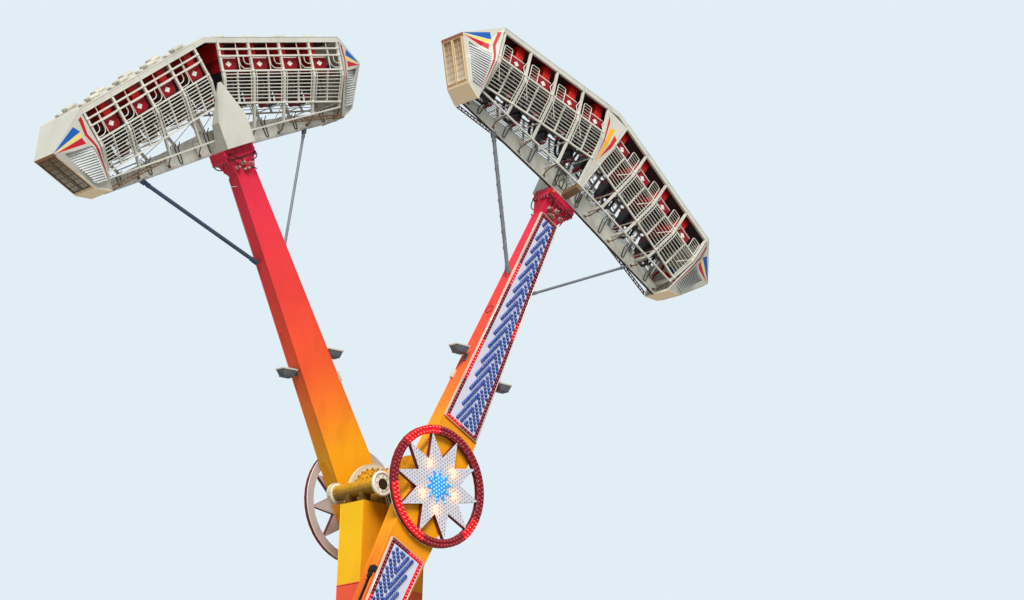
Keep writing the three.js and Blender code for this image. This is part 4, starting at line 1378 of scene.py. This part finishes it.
def makeStrutWrap():  # a wire wound around the front arm's left strut
    start, end, ahead = strutLine(halfSide["front"]["left"])
    first, length, radius = Vector((0, 1, 0)), (end - start).length, strut["radii"]["left"] + 0.002
    second = ahead.cross(first)
    route = []
    for step in range(strut["turnSteps"] + 1):
        share = step / strut["turnSteps"]
        turn = share * 2 * math.pi * strut["turns"]
        centre = start + ahead * mix(0.42, length - 0.34, share)
        route.append(centre + (first * math.cos(turn) + second * math.sin(turn)) * radius)
    onArm("front", newTube([route], 0.010, 6), "strut_wrap", looks["wrap"])


# Gondola frames
lattice = {"plate": (1.90, 1.17, 8.62), "nose": (3.52, 1.17, 8.36), "bays": 16, "depth": 0.075}


def postAcross(bay):  # where a post's foot stands on the girder's rails
    out = postOut(bay, 0)
    return (cabMatrix(1) @ skinPoint("outer", out, roofDepth(out))).x


def makeGirderFittings():
    stays, wires, feet = [], [], []
    face, back = girder["face"], girder["back"]
    faces = ((face, 1, girder["outer"] - 0.03), (back, -1, girder["inner"] + 0.03))
    for side, bay, (y, away, end) in itertools.product(bothSides, range(1, cab["bays"] + 1), faces):
        x = side * postAcross(bay)
        near, hang, under = x - side * 0.07, x - side * 0.42, girderUnder(x)
        corners = [(near, y - away * 0.005, under + 0.09), (x, y + away * 0.09, under + 0.13),
                   (x, end, under + girder["depth"] - 0.03)]
        stays.append(rounded(corners, 0.05, 3))
        thick = (y - away * 0.004, y + away * 0.016)
        feet.append(boxAt(near, thick, (under + 0.06, under + 0.12), (0.035, 0, 0), 0.004))
        top = webTop(hang) + 0.01
        loop = [(-0.045, 0.10, top + 0.05), (-0.05, 0.02, top - 0.02), (-0.035, 0.018, under + 0.09),
                (0.035, 0.018, under + 0.07), (0.05, 0.02, top - 0.03), (0.045, 0.14, top + 0.06)]
        wires.append(rounded([(hang + shift, y + away * out, z) for shift, out, z in loop], 0.03, 3))
    for x, size in ((0.30, 0.17), (0.18, 0.15)):
        loop = [(x + size * 0.8 * math.sin(turn), face + 0.03 + 0.02 * math.cos(2 * turn),
                 8.72 + size * math.cos(turn)) for turn in circleTurns(20)]
        wires.append([*loop, loop[0]])
    drop = [(-0.42, 0.02, 8.94), (-0.40, 0.03, 8.62), (-0.30, 0.03, 8.62), (-0.28, 0.02, 8.94)]
    wires.append(rounded([(x, face + out, z) for x, out, z in drop], 0.04, 3))
    bays = range(lattice["bays"] + 1)  # a light lattice strip on the mast side, from the plate to the nose
    low = [Vector(lattice["plate"]).lerp(Vector(lattice["nose"]), bay / lattice["bays"]) for bay in bays]
    high = [point + Vector((0, 0, lattice["depth"])) for point in low]
    zigzag = [(low, high)[bay % 2][bay] for bay in bays]
    stays += [[(side * x, y, z) for x, y, z in chord] for side in bothSides for chord in (low, high, zigzag)]
    onArms([newTube(stays, 0.014, 6), *feet], "girder_stays", "brown")
    onArms(newTube(wires, 0.010, 6), "girder_wires", "rubber")


def makeGirderPlates():  # stiffeners, edge strips and bolts on the girder's two faces
    plates, bolts = [], []
    face, back, flat, end = (girder[key] for key in ("face", "back", "flat", "end"))
    stiffeners = (-3.30, -2.40, -1.62, -0.78, 0.78, 1.62, 2.40, 3.30)
    for (y, away), x in itertools.product(((face, 1), (back, -1)), stiffeners):
        under, top = girderUnder(x), webTop(x)
        thick = (y - away * 0.004, y + away * 0.008)
        plates.append(boxAt(x, thick, (under + 0.02, top - 0.03), (0.05, 0, 0), 0.003))
        bolts += [(x + shift, y + away * 0.010, z) for z in (under + 0.05, top - 0.06) for shift in (-0.03, 0.03)]
    stations = [-end + 0.01, -flat, flat, end - 0.01]
    edges = [[(x, y, webTop(x)) for x in stations] for y in (face - 0.006, back + 0.006)]
    onArms([*plates, newTube(edges, 0.010, 6)], "girder_plates", "cream")
    bolt = newRod((0, -0.008, 0), (0, 0.008, 0), 0.010, 6)
    onArms(repeated(bolt, bolts), "girder_bolts", "steel")


def makePillarRivets():
    spots = [(x, z) for z in spacedOut(8.55, 9.0, 0.11) for x in (-0.385, 0.385)]
    for step, side in itertools.product(range(8), bothSides):
        share = (step + 0.5) / 8
        spots.append((side * mix(0.385, 0.06, share), mix(9.05, 9.84, share)))
    places = []
    for x, z in spots:
        y = mix(girder["inner"], cab["inner"], min(max((z - 8.73) / (9.95 - 8.73), 0), 1))
        places.append((x, y - 0.002, z))
    rivet = newRod((0, -0.006, 0), (0, 0.012, 0), 0.011, 6)
    onArms(repeated(rivet, places), "pillar_rivets", "steel")


def makeCabCentre():  # tubes that close the gap between the two halves' first posts
    routes = []
    for side, depth in itertools.product(bothSides, (bars["seatRail"], bars["midRail"])):
        start = cabMatrix(side) @ skinPoint("outer", 0.02, depth, 0.03)
        routes.append([start, (side * 0.02, start.y - 0.02, start.z + 0.04)])
    onArms(newTube(routes, 0.012, 6), "centre_ties", "cage")


weights = {
    "low": -6.1, "high": -4.0, "slab": 0.3, "rodsX": (-0.70, 0.70), "rodsY": (0.80, 1.54), "lugsX": (-0.45, 0.45),
}


def makeCounterweights():
    rods, nuts, lugs = [], [], []
    low, high = weights["low"], weights["high"]
    for x, y in itertools.product(weights["rodsX"], weights["rodsY"]):
        rods.append([(x, y, high), (x, y, high + 0.07)])
        nuts += [(x, y, high + 0.015), (x, y, low + 0.008)]
    onArms(newTube(rods, 0.022, 8), "weight_rods", "steel")
    nut = newRod((0, 0, -0.02), (0, 0, 0.02), 0.040, 6)
    onArms(repeated(nut, nuts), "weight_nuts", "steel")
    slabs = [rectangle(0, 1.17, z, 0.85, 0.53) for z in spacedOut(low, high, weights["slab"])]
    onArms(newTube(slabs, 0.008, 6, closed=True), "weight_slabs", "weight")
    for x in weights["lugsX"]:
        outline = [(x - 0.07, -4.01), (x + 0.07, -4.01), (x + 0.05, -3.92), (x, -3.89), (x - 0.05, -3.92)]
        lugs.append(shifted(newPlate(outline, 0.03, 0.005), (0, 1.50, 0)))
    onArms(lugs, "weight_lugs", "weight")


makeArms = (makeArmEdges, makeTipFlange, makeTipValves, makeArmCables, makeFloodlights, makeStrutEnds,
            makeStrutWrap, makeGirderFittings, makeGirderPlates, makePillarRivets, makeCabCentre)

# Base, mast and hub
mast = {"left": -1.180, "right": 0.600, "half": 0.386, "top": 12.15, "split": 10.36, "foot": 0.9}


def mastCollar(grow, low, high, bevel):
    left, right, half = mast["left"] - grow, mast["right"] + grow, mast["half"] + grow
    return newBox((left, -half, low), (right, half, high), bevel, 1)


def makeMastTrim():
    left, right, half, split = (mast[key] for key in ("left", "right", "half", "split"))
    for level, look, low, high in (
            ("upper", "mastUpper", split, mast["top"]), ("lower", "mastLower", mast["foot"], split)):
        beads = [[(x, y, low), (x, y, high)] for x in (left, right) for y in (-half, half)]
        onBase(newTube(beads, 0.012, 6), f"mast_edges_{level}", look)
    onBase(mastCollar(0.012, split - 0.022, split - 0.004, 0.004), "mast_split", "mastLower")
    foot = [mastCollar(0.10, 0.9, 0.94, 0.008)]
    for x, side in itertools.product((-1.18, -0.735, -0.29, 0.155, 0.60), bothSides):
        wedge = newPlate([(0.0, 0.93), (0.095, 0.93), (0.0, 1.16)], 0.014)
        foot.append(shifted(turned(wedge, side * math.pi / 2), (x, side * half, 0)))
    onBase(foot, "mast_foot", "chassis")
    places = [(x, y, 0.94) for x in spacedOut(-1.24, 0.66, 0.237) for y in (-0.445, 0.445)]
    bolt = [newRod((0, 0, -0.005), (0, 0, 0.026), 0.024, 6), newRod((0, 0, 0.02), (0, 0, 0.05), 0.013, 8)]
    onBase(repeated(bolt, places), "mast_foot_bolts", "steel")


def makeMastLadder():  # the way up to the hub, on the mast's far side
    near, x, half = mast["right"] - 0.01, mast["right"] + 0.16, 0.19
    stiles = [[(x, y, 1.25), (x, y, 11.6)] for y in (-half, half)]
    rungs = [[(x, -half, z), (x, half, z)] for z in spacedOut(1.45, 11.5, 0.28)]
    stays = [[(near, y, z), (x, y, z)] for z in spacedOut(1.6, 11.2, 1.6) for y in (-half, half)]
    onBase([newTube(stiles, 0.020, 8), newTube(stays, 0.014, 6)], "mast_ladder", "cream")
    onBase(newTube(rungs, 0.013, 6), "mast_rungs", "steel")


hub = {
    "bolts": 28, "boltCircle": 0.71, "face": 0.60, "drum": 0.62, "studs": 20,
    "studRows": (-0.46, -0.32, -0.16, 0.02, 0.18, 0.34, 0.48), "rim": 0.797, "rims": (0.604, 0.676),
}


def makeHubFittings():
    bolts, studs = [], []
    for side in bothSides:
        bolts += circle(hub["boltCircle"], hub["bolts"], (0, side * hub["face"], hubHeight))
    for y, turn in itertools.product(hub["studRows"], circleTurns(hub["studs"])):
        axis = Matrix.Translation((0, y, hubHeight))
        studs.append(axis @ Matrix.Rotation(turn, 4, "Y") @ Matrix.Translation((0, 0, hub["drum"])))
    rings = [circle(hub["rim"], 48, (0, side * y, hubHeight)) for side in bothSides for y in hub["rims"]]
    bolt, stud = newRod((0, -0.022, 0), (0, 0.022, 0), 0.020, 6), newRod((0, 0, -0.01), (0, 0, 0.018), 0.014, 6)
    onBase(repeated(bolt, bolts), "hub_flange_bolts", "steel")
    onBase(repeated(stud, studs), "hub_studs", "greaseAndShadeDark")
    onBase(newTube(rings, 0.010, 6, closed=True), "hub_rims", "pale")


cylinder = {  # its ends: rings as (radius, y, thickness), and the radius of the hole
    "x": -1.030, "z": 12.470,
    "ends": ((1, ((0.215, 0.795, 0.024), (0.185, 0.700, 0.016)), 0.105),
             (-1, ((0.246, 0.795, 0.036), (0.215, 0.745, 0.030), (0.185, 0.690, 0.020)), 0.125)),
}


def makeCylinderEnds():  # a plain ring at the rear end and a flared mouth at the front end
    x, z = cylinder["x"], cylinder["z"]
    rims, holes, bolts = [], [], []
    for side, flare, hole in cylinder["ends"]:
        for radius, y, thick in flare:
            rims.append(newTube([circle(radius, 32, (x, side * y, z))], thick, 8, closed=True))
        rims.append(newRod((x, side * 0.785, z), (x, side * 0.806, z), 0.200, 28))
        # dark discs painted as the shade inside the open ports
        holes.append(newRod((x + 0.01, side * 0.800, z - 0.01), (x + 0.01, side * 0.812, z - 0.01), hole, 24))
        bolts += circle(0.165, 8, (x, side * 0.810, z))
    onBase(rims, "cylinder_rims", "white")
    onBase(holes, "cylinder_ports", "greaseAndShadeDark")
    bolt = newRod((0, -0.012, 0), (0, 0.012, 0), 0.012, 6)
    onBase(repeated(bolt, bolts), "cylinder_bolts", "steel")


chassis = {
    "decks": ((-4.26, -3.80), (-3.40, -1.36), (0.78, 3.40), (3.80, 4.26)),
    "deckHalves": ((-1.12, -0.02), (0.02, 1.12)), "deck": (0.895, 0.908), "ribs": (-4.15, 4.15),
    "ribPitch": 0.46, "outrigger": 3.6, "jack": 3.05,
    "strips": ((-4.3, -3.79), (-3.41, 3.41), (3.79, 4.3)), "threads": (0.14, 0.20, 0.26, 0.32, 0.38),
}


def makeChassisDetails():
    deck = [boxAt(x, y, chassis["deck"], (0, 0, 0), 0.004)
            for x in chassis["decks"] for y in chassis["deckHalves"]]
    onBase(deck, "deck_plates", "tread")
    along = spacedOut(*chassis["ribs"], chassis["ribPitch"])
    ribs = []
    for side in bothSides:
        ribs += [boxAt(x, side * 1.15, (0.52, 0.88), (0.012, 0.022, 0), 0.004)
                 for x in along if abs(abs(x) - chassis["outrigger"]) > 0.24]
        ribs += [boxAt(x, side * 1.16, z, (0, 0.016, 0.016), 0.004)
                 for z in (0.515, 0.885) for x in chassis["strips"]]
    onBase(ribs, "chassis_ribs", "chassis")


def makeOutriggerDetails():  # collars, and the jack screws with their handles and feet
    collars, jacks = [], []
    for end, side in itertools.product(bothSides, bothSides):
        x, y = end * chassis["outrigger"], side * chassis["jack"]
        collars.append(boxAt(x, side * 1.19, (0.47, 0.83), (0.19, 0.03, 0), 0.012))
        collars.append(boxAt(x, y, (0.42, 0.86), (0.13, 0.13, 0), 0.014, 2))
        collars.append(boxAt(x, (side * 3.26, side * 3.296), (0.49, 0.81), (0.19, 0, 0), 0.008))
        jacks.append(newRod((x, y, 0.84), (x, y, 0.93), 0.07, 14))
        jacks.append(newRod((x - 0.12, y, 0.90), (x + 0.12, y, 0.90), 0.014, 8))
        for z in chassis["threads"]:
            jacks.append(newRod((x, y, z - 0.012), (x, y, z + 0.012), 0.098, 20))
        for turn in circleTurns(6):
            foot, reach = Vector((x, y, 0.06)), Vector((math.cos(turn), math.sin(turn), 0))
            jacks.append(newRod(foot + reach * 0.09 + Vector((0, 0, 0.02)), foot + reach * 0.31, 0.020, 6, 0.010))
    onBase(collars, "outrigger_collars", "mastLower")
    onBase(jacks, "jack_screws", "steel")


makeBase = (makeMastTrim, makeMastLadder, makeHubFittings, makeCylinderEnds, makeChassisDetails,
            makeOutriggerDetails, makeCounterweights)

# Camera and light
view = {"place": (-33.93, -39.47, 0.64), "yaw": 0.758, "pitch": 0.307, "roll": 0.028, "lens": 84.375}
light = {
    "toKey": (-0.45, -0.55, 0.70), "keyEnergy": 4.0, "keyAngle": 0.5, "keyColour": (1.0, 0.97, 0.92),
    "sky": tint(226, 238, 246), "skyStrength": 0.55, "floor": tint(160, 160, 156), "floorSize": 300,
}


def placeCamera():
    bpy.ops.object.camera_add()
    camera = bpy.context.object
    place = Matrix.Translation(view["place"])
    for angle, axis in ((-view["yaw"], "Z"), (math.pi / 2 + view["pitch"], "X"), (view["roll"], "Z")):
        place = place @ Matrix.Rotation(angle, 4, axis)
    camera.matrix_world = place
    camera.data.lens = view["lens"]
    camera.data.clip_end = 500
    bpy.context.scene.camera = camera


def placeLights():  # a sun, and a pale sky that looks brighter than it lights
    world = bpy.data.worlds.new("paleSky")
    bpy.context.scene.world = world
    world.use_nodes = True
    tree = world.node_tree
    background = tree.nodes["Background"]
    background.inputs["Color"].default_value = light["sky"]
    rays = tree.nodes.new("ShaderNodeLightPath")
    strength = tree.nodes.new("ShaderNodeMapRange")
    strength.inputs["To Min"].default_value = light["skyStrength"]
    tree.links.new(rays.outputs["Is Camera Ray"], strength.inputs["Value"])
    tree.links.new(strength.outputs["Result"], background.inputs["Strength"])
    bpy.ops.object.light_add(type="SUN", rotation=Vector(light["toKey"]).to_track_quat("Z", "Y").to_euler())
    sun = bpy.context.object
    sun.data.energy = light["keyEnergy"]
    sun.data.angle = light["keyAngle"]
    sun.data.color = light["keyColour"]


def placeFloor():
    deselectAll()
    bpy.ops.mesh.primitive_plane_add(size=light["floorSize"])
    floor = bpy.context.object
    floor.name = "studio_floor"
    floor.data.materials.append(Finish("studio_floor", light["floor"], 0.9).fade(0.03, 0.3).done().material)


placeCamera()
placeLights()
placeFloor()
bpy.context.scene.view_settings.view_transform = "Standard"
print("camera and light placed")

# The finishes of this ride
plainLooks = {  # name, colour on screen, roughness, fade, grime, specks
    "cage": ("cage_paint", (214, 211, 199), 0.42, 0.08, 0.35, 0.5),
    "mark": ("white_paint", (232, 226, 220), 0.4, 0.05, 0.2, 0.2),
    "brown": ("brown_paint", (112, 84, 62), 0.5, 0.15, 0.4, 0.5),
    "rubber": ("black_rubber", (26, 26, 28), 0.7, 0.2, 0.1, 0.0),
    "pale": ("pale_fitting", (206, 200, 186), 0.4, 0.12, 0.45, 0.6),
    "valve": ("valve_paint", (176, 166, 152), 0.45, 0.15, 0.5, 0.6),
    "duct": ("duct_paint", (232, 196, 180), 0.45, 0.1, 0.3, 0.4),
    "white": ("white_rim", (236, 230, 216), 0.4, 0.08, 0.3, 0.3),
    "red": ("red_fitting", (190, 24, 34), 0.4, 0.12, 0.3, 0.5),
    "amber": ("amber_fitting", (240, 128, 30), 0.4, 0.08, 0.2, 0.2),
    "wrap": ("strut_wrap", (150, 152, 156), 0.5, 0.1, 0.2, 0.1),
    "housing": ("lamp_housing", (92, 96, 102), 0.5, 0.15, 0.35, 0.3),
    "lampRim": ("lamp_rim", (196, 192, 178), 0.45, 0.1, 0.4, 0.3),
    "chassis": ("chassis_paint", (66, 70, 76), 0.5, 0.15, 0.4, 0.5),
    # grease on the hub studs, and painted shade in the cylinder's ports
    "greaseAndShadeDark": ("grease_and_shade_dark", (44, 34, 20), 0.35, 0.2, 0.3, 0.2),
}
bulbLooks = {  # name, colour on screen, glow, glints
    "bulbBlue": ("bulb_blue", (0, 62, 150), 0.0, 0.12), "bulbRed": ("bulb_red", (140, 12, 30)),
    "bulbLit": ("bulb_lit", (205, 4, 10), 0.5), "bulbGlint": ("bulb_glint", (255, 190, 190), 0.8),
    "bulbWhite": ("bulb_white", (128, 130, 150)), "bulbWarm": ("bulb_warm", (255, 236, 170), 1.2),
    # the burst plate's glow is painted light
    "bulbSky": ("bulb_sky", (140, 215, 250), 0.7), "burst": ("burst_paint", (20, 130, 210), 0.35),
}
looks = {
    **{key: plainPaint(*values) for key, values in plainLooks.items()},
    **{key: bulb(*values) for key, values in bulbLooks.items()},
    "arm": {arm: armPaint(arm) for arm in armLean}, "weight": {arm: counterweightPaint(arm) for arm in armLean},
    # the rear nose frames are a darker, painted-shade copy of the front's
    "noseFrame": {"front": plainPaint("nose_frame_pale", (226, 198, 156), 0.45, 0.1, 0.4),
                  "rear": plainPaint("nose_frame_dark", (96, 82, 74), 0.5, 0.1, 0.4)},
    "cream": creamPaint("cream_paint"), "vinyl": padVinyl("pad_vinyl", (46, 40, 42)),
    "foam": padVinyl("restraint_foam", (44, 46, 50)), "tube": bareSteel("restraint_tube", (176, 180, 184), 0.35),
    "steel": bareSteel("bolt_steel", (150, 154, 160), 0.38),
    "tread": plainPaint("tread_plate", (112, 116, 120), 0.45, 0.15, 0.4, 0.5, Metallic=0.5),
    "lampGlass": gloss("lamp_glass", (196, 208, 214), 0.12, Coat_Weight=0.8),
    "trim": gloss("panel_trim", (222, 218, 210), 0.3, Metallic=0.4),
    "louvre": gloss("nose_louvre", (214, 216, 214), 0.3, Metallic=0.2),
    "mastUpper": mastPaint("mast_paint_upper", tint(252, 196, 18), tint(250, 188, 20), 10.4, 12.2),
    "mastLower": mastPaint("mast_paint_lower", tint(236, 92, 62), tint(206, 44, 44), 0.9, 10.3),
    "hub": greasyYellowShadedUnder("hub_paint", 0.55, 0.69), "cylinder": greasyYellowShadedUnder("cylinder_paint", 0.7, capFrom=0.68),
}
greyStrut = plainPaint("grey_strut_paint", (128, 132, 138), 0.38, 0.15, 0.3, 0.3, Metallic=0.3)
blueStrut = plainPaint("blue_strut_paint", (70, 88, 112), 0.36, 0.15, 0.3, 0.3, Metallic=0.3)
strutPaints = {"front": {"left": greyStrut, "right": greyStrut}, "rear": {"left": blueStrut, "right": greyStrut}}
print("finishes made")

# Everything on the ride
for arm, sides in halfSide.items():
    paintNode(f"{arm}_arm_beam", looks["arm"][arm])
    paintNode(f"{arm}_counterweight", looks["weight"][arm])
    paintNode(f"{arm}_roof_girder", creamPaint(f"{arm}_girder_paint", arm))
    paintNode(f"{arm}_inner_pillar", looks["cream"])
    paintNode(f"{arm}_outer_wedge", wedgePaint(arm))
    for half, side in sides.items():
        paintNode(f"{arm}_floor_{half}", floorPaint(arm, side))
        paintNode(f"{arm}_nose_{half}", nosePaint(arm, side))
        paintNode(f"{arm}_strut_{half}", strutPaints[arm][half])
        paintNode(f"{arm}_cage_{half}_inner", looks["cage"])
        paintNode(f"{arm}_cage_{half}_outer", looks["cage"])
for node, look in {
        "mast_upper": "mastUpper", "mast_lower": "mastLower", "hub_drum": "hub", "base_chassis": "chassis",
        "drive_cylinder": "cylinder", "outrigger_left": "mastLower", "outrigger_right": "mastLower"}.items():
    paintNode(node, looks[look])
print("frame painted")

for stage, makers in {
        "seats": makeSeats, "cages": makeCages, "gondola ends": makeGondolaEnds,
        "lights": (makePanelLights, makeWheelLights), "arm fittings": makeArms, "base": makeBase}.items():
    for make in makers:
        make()
    print(stage, "made")
